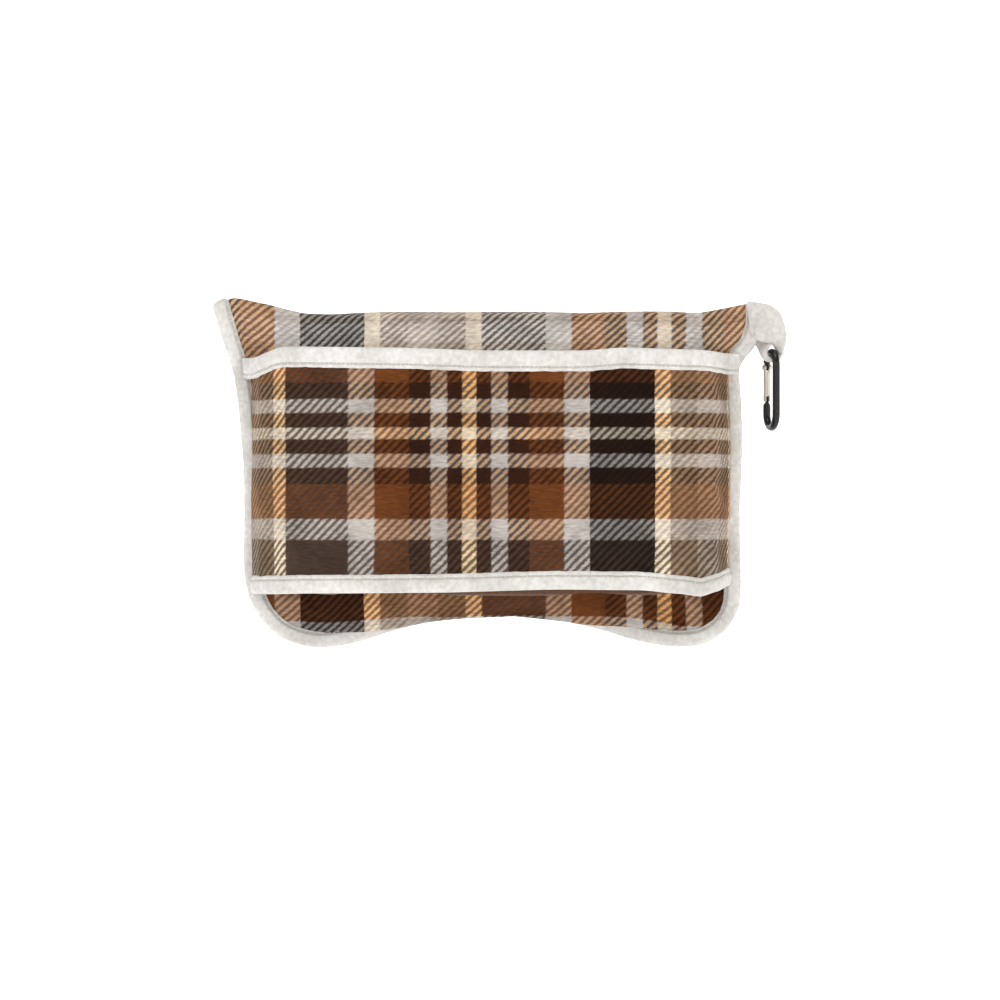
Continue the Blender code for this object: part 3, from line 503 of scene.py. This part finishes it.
def buildCover():
    columns, rows = case["columns"], case["rows"]
    bm = bmesh.new()
    layer = bm.loops.layers.uv.new("cloth")
    for side in (-1, 1):
        made, uvs = [], []
        for c in range(columns + 1):
            # Columns crowd towards the sides, where the case curves most.
            k = c / columns
            s = lerp(k, 0.5 - 0.5 * math.cos(math.pi * k), 0.55)
            points = evenly([casePoint(s, n / 300, side) for n in range(301)], rows)
            run = arcLengths(points)
            made.append([bm.verts.new(place(p)) for p in points])
            uvs.append([((p.x + plaidPlace["body x"]) / 1000,
                         (plaidPlace["body fold"] + side * (run[-1] - r) * 0.975) / 1000)
                        for p, r in zip(points, run)])
        for c in range(columns):
            for n in range(rows):
                corners = ((c, n), (c + 1, n), (c + 1, n + 1), (c, n + 1))
                if side > 0:
                    corners = corners[::-1]
                face = bm.faces.new([made[i][j] for i, j in corners])
                for loop, (i, j) in zip(face.loops, corners):
                    loop[layer].uv = uvs[i][j]
    bmesh.ops.remove_doubles(bm, verts=bm.verts, dist=0.00005)
    bmesh.ops.recalc_face_normals(bm, faces=bm.faces)
    return bm


stuffing = {
    "frames": 20,
    "pressure": 4.0,
    "start share": 0.94,  # the case starts this much thinner and swells
    "most mm": 6.0,  # farthest that a point may move
    "pinned mm": 2.5,  # cloth this near the side and bottom seams is held by them
    "stretch stiffness": 15.0,
    "bend stiffness": 0.4,
}


def swell(piece):
    # Fills the sewn case: pressure pushes its cloth out between the seams that hold it.
    mesh = piece.data
    start = [v.co.copy() for v in mesh.vertices]
    middle = seamPlane / 1000
    for v in mesh.vertices:
        v.co.y = middle + (v.co.y - middle) * stuffing["start share"]
    held = piece.vertex_groups.new(name="heldBySeams")
    for v in mesh.vertices:
        if abs(v.co.y - middle) < stuffing["pinned mm"] / 1000:
            held.add([v.index], 1.0, "REPLACE")
    cloth = piece.modifiers.new("Cloth", "CLOTH")
    cloth.settings.vertex_group_mass = held.name
    cloth.settings.use_pressure = True
    cloth.settings.uniform_pressure_force = stuffing["pressure"]
    cloth.settings.effector_weights.gravity = 0.0
    cloth.settings.tension_stiffness = stuffing["stretch stiffness"]
    cloth.settings.compression_stiffness = stuffing["stretch stiffness"]
    cloth.settings.bending_stiffness = stuffing["bend stiffness"]
    cloth.settings.quality = 5
    cloth.collision_settings.use_collision = False
    scene = bpy.context.scene
    for number in range(1, stuffing["frames"] + 1):
        scene.frame_set(number)
    done = piece.evaluated_get(bpy.context.evaluated_depsgraph_get()).to_mesh()
    most = stuffing["most mm"] / 1000
    for v, first, after in zip(mesh.vertices, start, done.vertices):
        step = after.co - first
        v.co = first + step * min(1.0, most / max(step.length, 1e-9))
    piece.to_mesh_clear()
    piece.modifiers.clear()
    piece.vertex_groups.clear()
    scene.frame_set(1)


def wrinkle(piece, amount, seed, limit=None):
    # Shallow folds: long soft ones pulled from the corners, short ones across them.
    mesh = piece.data
    normals = [n.vector.copy() for n in mesh.vertex_normals]
    for v, normal in zip(mesh.vertices, normals):
        p = v.co
        broad = noise.noise(Vector((p.x * 11, p.y * 7 + seed, p.z * 14)))
        fine = noise.noise(Vector((p.x * 38, p.y * 20 + seed, p.z * 46)))
        share = limit(p) if limit else 1.0
        v.co = p + normal * (broad * 0.7 + fine * 0.3) * amount / 1000 * share


def subdivide(piece, levels=1):
    modifier = piece.modifiers.new("Subdivision", "SUBSURF")
    modifier.levels = modifier.render_levels = levels
    modifier.uv_smooth = "PRESERVE_BOUNDARIES"
    depsgraph = bpy.context.evaluated_depsgraph_get()
    finer = bpy.data.meshes.new_from_object(piece.evaluated_get(depsgraph))
    piece.modifiers.clear()
    piece.data = finer
    finer.shade_smooth()


cover = finishPiece("stuffedPlushCase", buildCover(), plaidCloth, "cover")
swell(cover)


def awayFromSeams(p):
    return clamp01((abs(p.y - seamPlane / 1000) - 0.003) / 0.02)


wrinkle(cover, 2.2, 3.0, awayFromSeams)
subdivide(cover)

# The zip lies in a shallow channel high on the back, so the tape shows between the cloth's edges.
zipLow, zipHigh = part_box("zipper_tape_lower"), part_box("zipper_tape_upper")
zipSpot = Vector((0, (zipLow[0][1] + zipHigh[1][1]) / 2, (zipLow[0][2] + zipHigh[1][2]) / 2))
zipUp = Vector((0, -0.542833, 0.83984))
zipOut = Vector((0, 0.83984, 0.542833))
for v in cover.data.vertices:
    offset = v.co - zipSpot
    along, out = abs(offset.dot(zipUp)), offset.dot(zipOut)
    if abs(v.co.x) < 0.156 and along < 0.014 and v.co.y > seamPlane / 1000:
        sunk = 1 - ease(along, 0.0045, 0.0105)
        sunk *= 1 - ease(abs(v.co.x), 0.147, 0.155)
        v.co += zipOut * lerp(0.0, -0.0022 - out, sunk)
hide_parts("front_panel", "back_panel")
print("case stuffed:", len(cover.data.polygons), "faces")


# The blanket folded up inside: a soft stack whose layers show as grooves along its edges.
blanket = {"layers": 7, "half width": 168.0, "low": 42.0, "high": 236.0, "half depth": 29.0,
           "groove mm": 1.6}


def foldedBlanket():
    rows, around = 60, 72
    rings = []
    for r in range(rows + 1):
        share = r / rows
        x = lerp(-1, 1, share) * blanket["half width"]
        ends = (1 - abs(2 * share - 1) ** 9) ** 0.5
        ring = []
        for k in range(around):
            a = 2 * math.pi * k / around
            y = math.copysign(abs(math.cos(a)) ** 0.55, math.cos(a))
            z = math.copysign(abs(math.sin(a)) ** 0.45, math.sin(a))
            groove = math.cos(y * blanket["layers"] * math.pi) * blanket["groove mm"] * abs(z) ** 4
            height = (blanket["high"] - blanket["low"]) / 2
            taper = 1 - 0.28 * max(0.0, z) ** 2
            ring.append(place((x, y * blanket["half depth"] * lerp(0.55, 1, ends) * taper,
                               (blanket["high"] + blanket["low"]) / 2
                               + z * (height + groove) * lerp(0.86, 1, ends))))
        rings.append(ring)
    bm, made = gridMesh(rings, wrap=True)
    bm.faces.new(made[0][::-1])
    bm.faces.new(made[-1])
    bmesh.ops.recalc_face_normals(bm, faces=bm.faces)
    return bm


folded = finishPiece("foldedFleeceBlanket", foldedBlanket(), fleeceCloth, "cover")
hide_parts("folded_blanket")
print("blanket folded")


def sweepBand(name, centres, outs, section, material, body, fuzz=0.25, seed=0.0, sides=None,
              tips=(0.0, 0.0)):
    # Sweeps a closed section, given as (out, side) in mm, along centres. outs has the out
    # direction at each centre, sides the other one, and tips how many mm each end rounds off in.
    run = arcLengths(centres)
    rings = []
    for k, (centre, out) in enumerate(zip(centres, outs)):
        side = sides[k] if sides else Vector((0, 1, 0))
        shrink = 1.0
        for tip, gone in ((tips[0], run[k]), (tips[1], run[-1] - run[k])):
            if tip and gone < tip:
                shrink = min(shrink, math.sqrt(max(0.02, 1 - (1 - gone / tip) ** 2)))
        ring = []
        shape = section(k) if callable(section) else section
        for a, b in shape:
            p = centre + (out * a + side * b) * shrink
            lump = noise.noise(p * 0.13 + Vector((seed, 0, 0))) * 0.6 + noise.noise(p * 0.45) * 0.4
            ring.append(place(p + (out * a + side * b).normalized() * lump * fuzz * 2))
        rings.append(ring)
    bm, made = gridMesh(rings, wrap=True)
    bm.faces.new(made[0][::-1])
    bm.faces.new(made[-1])
    bmesh.ops.recalc_face_normals(bm, faces=bm.faces)
    return finishPiece(name, bm, material, body)


def bandSection(low, high, back, front, grooveAt, count=40, square=0.62):
    # A flattened roll between low and high, with the stitch line's groove on both faces.
    ring = []
    for k in range(count):
        a = 2 * math.pi * k / count
        across = math.copysign(abs(math.cos(a)) ** square, math.cos(a))
        thick = math.copysign(abs(math.sin(a)) ** 0.8, math.sin(a))
        u = lerp(low, high, 0.5 + across / 2)
        depth = front if thick > 0 else back
        dip = 1 - 0.5 * math.exp(-((u - grooveAt) / 0.95) ** 2)
        ring.append((u, thick * depth * dip))
    return ring


# The plush tape that binds the side and bottom seams: folded over the edge and sewn through.
binding = {"inner": -3.0, "outer": 10.4, "front": 6.2, "back": 5.0, "stitch line": -0.9,
           "pile lumps mm": 0.35, "front row": -4.35, "back row": 3.5, "stitch spacing": 3.6,
           "stitch size": (2.7, 0.5)}
edge = line["left"][::-1] + line["bottom"][1:] + line["right"][1:]
edge = evenly(edge, 430)
for _ in range(4):  # eases the corners where the three runs meet
    eased = [(a + b * 2 + c) / 4 for a, b, c in zip(edge, edge[1:], edge[2:])]
    edge = [edge[0]] + eased + [edge[-1]]
edgeOuts = []
for k, p in enumerate(edge):
    along = (edge[min(k + 1, len(edge) - 1)] - edge[max(k - 1, 0)]).normalized()
    edgeOuts.append(Vector((-along.z, 0, along.x)) * -1)
edgeOuts = [o if o.dot(p - Vector((0, 0, 140))) > 0 else -o for o, p in zip(edgeOuts, edge)]
start = edge[0] - (edge[1] - edge[0]).normalized() * 1.5
edgeBinding = sweepBand("plushEdgeBinding", [start] + edge, [edgeOuts[0]] + edgeOuts,
                        bandSection(binding["inner"], binding["outer"], -binding["front"],
                                    -binding["back"], binding["stitch line"]),
                        whiteCloth, "cover", binding["pile lumps mm"], 2.0, tips=(4.0, 2.0))
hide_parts("edge_binding")
print("edges bound")


def stitches(name, points, outs, spacing, size, node):
    # A row of thread stitches: each is a short swollen bar lying in its dimple.
    total = arcLengths(points)[-1]
    count = int(total / spacing)
    spots = evenly(points, count)
    bm = bmesh.new()
    for k in range(count):
        a, b = spots[k], spots[k + 1]
        along = (b - a).normalized()
        out = outs((a + b) / 2)
        across = along.cross(out).normalized()
        out = across.cross(along).normalized()
        turn = Matrix((along, out, across)).transposed().to_4x4()
        scale = Matrix.Diagonal((size[0] / 2000, size[1] / 1000, size[1] / 1000, 1))
        bmesh.ops.create_uvsphere(bm, u_segments=6, v_segments=5, radius=1.0,
                                  matrix=Matrix.Translation(place((a + b) / 2)) @ turn @ scale)
    piece = finishPiece(name, bm, thread, "cover")
    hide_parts(node)
    return piece


for name, depth, facing in (("bindingStitches", binding["front row"], -1),
                            ("bindingStitchesBehind", binding["back row"], 1)):
    row = [p + o * binding["stitch line"] + Vector((0, depth, 0)) for p, o in zip(edge, edgeOuts)]
    stitches(name, row, lambda p, y=facing: Vector((0, y, 0)), binding["stitch spacing"],
             binding["stitch size"], "binding_stitch")

# The luggage sleeve: one plush panel from side seam to side seam, open above and below.
sleeve = {
    "plan": [(-189.2, -3.5), (-186.5, -13), (-178.5, -31), (-164, -47.5), (-151, -53.5),
             (-100, -65.6), (-50, -67.3), (0, -67.5), (50, -67.3), (100, -65.6), (150, -55),
             (171, -46.5), (178.5, -38.5), (185, -22), (189, -10), (190, -3.5)],
    "top": [(-189.2, 234), (-164, 242), (-80, 240.8), (0, 238.4), (74, 238.4), (106, 240.8),
            (165, 239.5), (190, 237.5)],
    "bottom": [(-189.2, 44.5), (-142, 45.8), (-44, 46.6), (54, 49.1), (119, 48.5), (150, 45.5),
               (167, 43.2), (180, 47), (190, 51)],
    "thickness": 2.6,
    "columns": 210,
    "rows": 84,
    "top band": 17.0,
    "bottom band": 15.0,
}
plan = evenly(smoothLine([(x, y, 0) for x, y in sleeve["plan"]]), sleeve["columns"])


def heightAt(x, run):
    for (x0, z0), (x1, z1) in zip(run, run[1:]):
        if x <= x1:
            return lerp(z0, z1, ease(x, x0, x1) * 0.5 + clamp01((x - x0) / (x1 - x0)) * 0.5)
    return run[-1][1]


# Its two bands run on over the side binding to the case's outside.
bandEnds = [[(-198.5, -8.2), (-192.5, -11.5), (-186, -19.5)],
            [(185.5, -25), (192.5, -14.5), (200, -8.6)]]
bandRun = bandEnds[0] + sleeve["plan"][2:-3] + bandEnds[1]
bandPlan = evenly(smoothLine([(x, y, 0) for x, y in bandRun]), sleeve["columns"])


def planOut(k, plan=plan):
    along = (plan[min(k + 1, len(plan) - 1)] - plan[max(k - 1, 0)]).normalized()
    return Vector((along.y, -along.x, 0))


def sleeveSurface(k, z, plan=plan):
    # Where the panel's middle lies: slack between its bands, rumpled towards its right end.
    p, out = plan[k], planOut(k, plan)
    top, bottom = heightAt(p.x, sleeve["top"]), heightAt(p.x, sleeve["bottom"])
    share = clamp01((z - bottom) / (top - bottom))
    slack = math.sin(math.pi * share)
    broad = noise.noise(Vector((p.x / 46, z / 70, 1.7)))
    pulled = noise.noise(Vector((p.x / 17 + z / 60, z / 55, 4.2)))
    rumple = noise.noise(Vector((p.x / 9, z / 16 + p.x / 25, 8.0))) * ease(p.x, 120, 178)
    rumple *= (1 - ease(p.x, 183, 190)) * clamp01(slack * 2.5)
    left = noise.noise(Vector((p.x / 8, z / 40, 2.0))) * ease(-p.x, 150, 172)
    left *= 1 - ease(-p.x, 180, 189)
    lift = 0.5 + slack * (1.0 + broad * 1.6 + pulled * 0.9) + rumple * 2.4 + left * 1.5
    return Vector((p.x, p.y, z)) + out * max(0.0, lift)


def buildSleeve():
    columns, rows, half = sleeve["columns"], sleeve["rows"], sleeve["thickness"] / 2
    run = arcLengths(plan)
    middle = run[min(range(len(plan)), key=lambda k: abs(plan[k].x))]
    points, uvs = [], []
    for k in range(columns + 1):
        top = heightAt(plan[k].x, sleeve["top"]) - 1.6
        bottom = heightAt(plan[k].x, sleeve["bottom"]) + 1.6
        out = planOut(k)
        inner, outer = [], []
        for n in range(rows + 1):
            p = sleeveSurface(k, lerp(bottom, top, n / rows))
            outer.append(p + out * half)
            inner.append(p - out * half)
        ring = outer + inner[::-1]
        points.append([place(p) for p in ring])
        uvs.append([((run[k] - middle + plaidPlace["sleeve x"]) / 1000,
                     (p.z + plaidPlace["sleeve z"]) / 1000) for p in ring])
    bm, made = gridMesh(points, uvs, wrap=True)
    for ring in (made[0][::-1], made[-1]):
        count = len(ring) // 2
        for n in range(count - 1):
            bm.faces.new((ring[n], ring[n + 1], ring[-2 - n], ring[-1 - n]))
    bmesh.ops.recalc_face_normals(bm, faces=bm.faces)
    return bm


sleevePanel = finishPiece("luggageSleeve", buildSleeve(), plaidCloth, "cover")
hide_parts("sleeve_panel")


def sleeveBand(name, bandPlan, edgeRun, width, upward, node, stitchNode):
    # A band folded over the panel's edge. Its sewn lip shows as a line near its inner edge.
    centres, outs, sides, rows = [], [], [], []
    lip = width - 3.9
    for k, spot in enumerate(bandPlan):
        edgeZ, out = heightAt(spot.x, edgeRun), planOut(k, bandPlan)
        p = sleeveSurface(k, edgeZ - upward * 2, bandPlan)
        centres.append(Vector((p.x, p.y, edgeZ)))
        outs.append(Vector((0, 0, -upward)))
        sides.append(out)
        rows.append(Vector((p.x, p.y, edgeZ - upward * lip)) + out * 2.3)
    section = bandSection(0.0, width, -3.0, 3.9, lip, 60, 0.72)
    band = sweepBand(name, centres, outs, section, whiteCloth, "cover", 0.3, width, sides,
                     tips=(3.0, 5.0))
    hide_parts(node)
    row = rows[8:-8]

    def facing(p):
        k = min(range(len(bandPlan)), key=lambda n: abs(bandPlan[n].x - p.x))
        return planOut(k, bandPlan)

    return band, stitches(name + "Stitches", row, facing, 3.4, (2.5, 0.5), stitchNode)


topBand, topRow = sleeveBand("sleeveTopBinding", bandPlan, sleeve["top"], sleeve["top band"], 1,
                             "sleeve_top_binding", "sleeve_top_stitch")
lowBand, lowRow = sleeveBand("sleeveBottomBinding", plan, sleeve["bottom"], sleeve["bottom band"],
                             -1, "sleeve_bottom_binding", "sleeve_bottom_stitch")
print("sleeve hung")

# The strap loop: a doubled plush strap, wide where it is sewn and gathered where the hook hangs.
joints = {joint["name"]: joint for joint in frame["record"]["behaviour"]["joints"]}
hookSpot = Vector(joints["carabiner_swing"]["pos_m"])
rod = Vector(joints["carabiner_swing"]["axis"]).normalized()
strap = {
    "root width": 29.0,
    "fold width": 11.5,
    "root thickness": 6.0,
    "fold thickness": 4.2,
    "front": [(208.5, 264, -3.6), (214, 264.6, -4.8), (220.5, 262.6, -5.6), (226, 255.5, -5.0),
              (230.5, 247, -2.0)],
    "back": [(221.5, 246, 4.2), (221, 253.5, 5.2), (216.5, 261, 4.6), (209, 264, 3.4)],
}


def strapLoop():
    hook = onCase(hookSpot)
    out = Vector((-rod.y, rod.x, 0))
    reach = 6.0
    fold = [hook + out * math.cos(a) * reach * 1.12 + Vector((0, 0, 1)) * math.sin(a) * reach
            for a in [-math.pi * k / 8 for k in range(9)]]
    run = [Vector((x, y, z)) for x, z, y in strap["front"]] + fold
    run += [Vector((x, y, z)) for x, z, y in strap["back"]]
    centres = evenly(smoothLine(run, 10), 150)
    foldAt = min(range(151), key=lambda k: centres[k].z) / 150
    outs, sides, shapes = [], [], []
    for k, p in enumerate(centres):
        share = k / 150
        near = 1 - abs(share - foldAt) / (foldAt if share < foldAt else 1 - foldAt)
        along = (centres[min(k + 1, 150)] - centres[max(k - 1, 0)]).normalized()
        turn = ease(near, 0.4, 0.76)  # it turns edge on only where it nears the hook
        flat = along.cross(Vector((0, 1, 0))).normalized()
        across = rod if rod.dot(flat) > 0 else -rod
        side = flat.lerp(across, turn)
        side = (side - along * side.dot(along)).normalized()
        if sides and side.dot(sides[-1]) < 0:
            side = -side
        sides.append(side)
        outs.append(along.cross(side).normalized())
        gather = ease(near, 0.24, 0.84)
        width = lerp(strap["root width"], strap["fold width"], gather)
        thick = lerp(strap["root thickness"], strap["fold thickness"], gather)
        shape = []
        for n in range(32):
            a = 2 * math.pi * n / 32
            shape.append((math.copysign(abs(math.sin(a)) ** 0.9, math.sin(a)) * thick / 2,
                          math.copysign(abs(math.cos(a)) ** 0.7, math.cos(a)) * width / 2))
        shapes.append(shape)
    return sweepBand("plushStrapLoop", centres, outs, lambda k: shapes[k], whiteCloth, None,
                     0.5, 5.0, sides)


loop = strapLoop()
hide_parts("hang_loop")
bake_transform(loop)
rootRow = [Vector((212.6, -6.9, z)) for z in range(252, 279, 2)]
stitches("loopStitches", rootRow, lambda p: Vector((0, -1, 0)), 3.4, (2.4, 0.45), "loop_stitch")
print("loop sewn in")


# The snap hook: one bent aluminium rod, with a sprung gate between its two ends.
hook = {"rod radius": 3.0, "arc": 11.0, "length": 60.4, "hinge": -12.0, "gate": 27.5,
        "tongue share": 0.33}  # of the rod's thickness, where the gate straddles its ends


def hookBody():
    arc, bottom = hook["arc"], -(hook["length"] - hook["arc"])
    nose = hook["hinge"] - hook["gate"] - 1.2
    run = [(-arc, hook["hinge"] - 2.4), (-arc, hook["hinge"] - 0.7)]
    run += [(arc * math.cos(a), -arc + arc * math.sin(a))
            for a in [math.pi * (1 - k / 24) for k in range(25)]]
    run += [(arc, lerp(-arc, bottom, k / 12)) for k in range(1, 12)]
    run += [(arc * math.cos(a), bottom + arc * math.sin(a))
            for a in [-math.pi * k / 24 for k in range(25)]]
    run += [(-arc, lerp(bottom, nose + 5.6, k / 6)) for k in range(1, 7)]
    rings = []
    plane = Vector((-rod.y, rod.x, 0))
    for k, (x, z) in enumerate(run):
        before, after = run[max(k - 1, 0)], run[min(k + 1, len(run) - 1)]
        along = (rod * (after[0] - before[0]) + Vector((0, 0, after[1] - before[1]))).normalized()
        across = plane.cross(along).normalized()
        centre = hookSpot + (rod * x + Vector((0, 0, z))) / 1000
        # The rod's two ends are milled to flat tongues that the gate straddles.
        flat = 1.0
        if x < -hook["arc"] + 0.4:
            if z > hook["hinge"] - 5 and z < hook["hinge"] + 3.0:
                flat = hook["tongue share"]
            if nose < z < nose + 8:
                flat = hook["tongue share"]
        ring = []
        for n in range(20):
            a = 2 * math.pi * n / 20
            ring.append(centre + (across * math.cos(a) + plane * math.sin(a) * flat)
                        * hook["rod radius"] / 1000)
        rings.append(ring)
    bm, made = gridMesh(rings, wrap=True)
    bm.faces.new(made[0][::-1])
    bm.faces.new(made[-1])
    bmesh.ops.recalc_face_normals(bm, faces=bm.faces)
    return bm


hookRod = finishPiece("snapHookRod", hookBody(), blackMetal, "carabiner")
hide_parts("carabiner_body")


def smoothCopy(name, node, material, body):
    # A copy of a hard part with its triangles joined, so that its round faces shade smoothly.
    bm = bmesh.new()
    bm.from_mesh(frame["nodes"][node].data)
    bmesh.ops.remove_doubles(bm, verts=bm.verts, dist=0.000002)
    bmesh.ops.dissolve_limit(bm, angle_limit=0.01, verts=bm.verts, edges=bm.edges)
    piece = finishPiece(name, bm, material, body)
    piece.data.set_sharp_from_angle(angle=0.6)
    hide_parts(node)
    return piece


for name, node, material, body, slot in (
        ("hookGate", "carabiner_gate", bareMetal, "gate", "bare_aluminium"),
        ("gateRivet", "gate_rivet", bareMetal, "carabiner", "bare_aluminium"),
        ("gateLatchPin", "gate_latch_pin", bareMetal, "gate", "bare_aluminium"),
        ("gateSpring", "gate_spring", bareMetal, "gate", "bare_aluminium"),
        ("springPlunger", "spring_plunger", bareMetal, "gate", "bare_aluminium"),
        ("zipSlider", "zipper_slider", nickel, "zip_slider", "nickelled_zinc"),
        ("zipPull", "zipper_pull", nickel, "zip_pull", "nickelled_zinc"),
        ("zipTopStopUpper", "zipper_top_stop_upper", nickel, "cover", "nickelled_zinc"),
        ("zipTopStopLower", "zipper_top_stop_lower", nickel, "cover", "nickelled_zinc"),
        ("zipBottomStop", "zipper_bottom_stop", nickel, "cover", "nickelled_zinc"),
        ("zipTapeUpper", "zipper_tape_upper", tapeCloth, "cover", "zip_nylon"),
        ("zipTapeLower", "zipper_tape_lower", tapeCloth, "cover", "zip_nylon")):
    smoothCopy(name, node, material, body)
print("hook and zip parts finished")

# Coil teeth: round nylon turns about 1.5 mm apart along each tape's edge.
teeth = {"pitch mm": 1.5, "half length": 1.35, "radius": 0.55, "half depth": 0.8}
for name, node, sign, shift in (("coilTeethUpper", "zipper_coil_upper", 1, 0.0),
                                ("coilTeethLower", "zipper_coil_lower", -1, 0.5)):
    low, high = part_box(node)
    middleY, middleZ = (low[1] + high[1]) / 2, (low[2] + high[2]) / 2
    bm = bmesh.new()
    count = int((high[0] - low[0]) * 1000 / teeth["pitch mm"])
    for k in range(count):
        x = low[0] + (k + 0.25 + shift) * teeth["pitch mm"] / 1000
        turn = Matrix((Vector((1, 0, 0)), zipUp, zipOut)).transposed().to_4x4()
        scale = Matrix.Diagonal((teeth["radius"] / 1000, teeth["half length"] / 1000,
                                 teeth["half depth"] / 1000, 1))
        bmesh.ops.create_uvsphere(bm, u_segments=6, v_segments=6, radius=1.0,
                                  matrix=Matrix.Translation((x, middleY, middleZ))
                                  @ turn @ scale)
    piece = finishPiece(name, bm, nylon, "cover")
    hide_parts(node)
coverTree = BVHTree.FromPolygons([v.co for v in cover.data.vertices],
                                 [p.vertices for p in cover.data.polygons])
for node in ("zip_stitch_upper", "zip_stitch_lower"):
    low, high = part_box(node)
    row = []
    for k in range(61):  # the row follows the plush, sunk into its pile
        spot = Vector((lerp(low[0], high[0], k / 60), (low[1] + high[1]) / 2,
                       (low[2] + high[2]) / 2))
        hit = coverTree.ray_cast(spot + zipOut * 0.02, -zipOut)[0] or spot
        row.append(onCase(hit))
    stitches("zipStitches" + node[-5:].title(), row, lambda p: zipOut, 3.2, (2.4, 0.45), node)
print("zip closed")

# A pale floor that curves up into a backdrop, three soft lights and a dim surround.
studio = {"camera right": 0.008, "camera height": -0.023, "away": 3.97, "lens": 180.0,
          "floor": -0.1455, "floor radius": 6.2, "wall curve": 1.2}


def buildFloor():
    # A round floor that curves up into a low wall, farther out than any camera stands.
    bm = bmesh.new()
    radius, curve = studio["floor radius"], studio["wall curve"]
    profile = [(0.0, 0.0), (3.0, 0.0), (radius, 0.0)]
    profile += [(radius + curve * math.sin(a), curve - curve * math.cos(a))
                for a in [math.pi / 2 * k / 10 for k in range(1, 11)]] + [(radius + curve, 3.2)]
    spine = [bm.verts.new((x, 0, studio["floor"] + z)) for x, z in profile]
    edges = [bm.edges.new((a, b)) for a, b in zip(spine, spine[1:])]
    bmesh.ops.spin(bm, geom=spine + edges, axis=(0, 0, 1), cent=(0, 0, 0), steps=72,
                   angle=2 * math.pi, use_merge=True)
    bmesh.ops.remove_doubles(bm, verts=bm.verts, dist=0.0001)
    bmesh.ops.recalc_face_normals(bm, faces=bm.faces)
    return bm


paper, paperTree, paperShader = newMaterial("whitePaperBackdrop", {
    "Roughness": 0.9, "Emission Color": (1, 1, 1, 1), "Emission Strength": 0.68,
})
paperSpot = addNode(paperTree, "ShaderNodeTexCoord")
paperGrain = addNode(paperTree, "ShaderNodeTexNoise", {"Scale": 3.0},
                     {"Vector": paperSpot.outputs["Object"]})
paperMix = addNode(paperTree, "ShaderNodeMix", {"data_type": "RGBA", 6: colour("#f4f3f1"),
                   7: colour("#fafafa")}, {0: paperGrain.outputs["Fac"]})
paperTree.links.new(paperMix.outputs[2], paperShader.inputs["Base Color"])
floor = finishPiece("paperSweep", buildFloor(), paper, None)


def softLight(name, spot, target, size, power):
    data = bpy.data.lights.new(name, "AREA")
    data.shape, data.size, data.energy = "SQUARE", size, power
    lamp = bpy.data.objects.new(name, data)
    bpy.context.scene.collection.objects.link(lamp)
    lamp.location = spot
    lamp.rotation_euler = (Vector(target) - Vector(spot)).to_track_quat("-Z", "Y").to_euler()


softLight("keyLight", (-1.3, -1.9, 1.5), (0, 0, 0), 1.5, 9.0)
softLight("fillLight", (1.6, -1.7, 0.9), (0, 0, 0), 1.6, 3.0)
softLight("topLight", (0.1, -0.5, 2.0), (0, 0, 0), 1.4, 22.0)
world = bpy.data.worlds.new("studioWorld")
world.use_nodes = True
world.node_tree.nodes["Background"].inputs["Color"].default_value = (1, 1, 1, 1)
world.node_tree.nodes["Background"].inputs["Strength"].default_value = 0.24
bpy.context.scene.world = world

camera = bpy.data.objects.new("camera", bpy.data.cameras.new("camera"))
bpy.context.scene.collection.objects.link(camera)
camera.data.lens, camera.data.sensor_width = studio["lens"], 36.0
camera.location = (studio["camera right"], -studio["away"], studio["camera height"])
camera.rotation_euler = (math.pi / 2, 0, 0)
bpy.context.scene.camera = camera
bpy.context.scene.view_settings.view_transform = "Standard"
print("studio set")
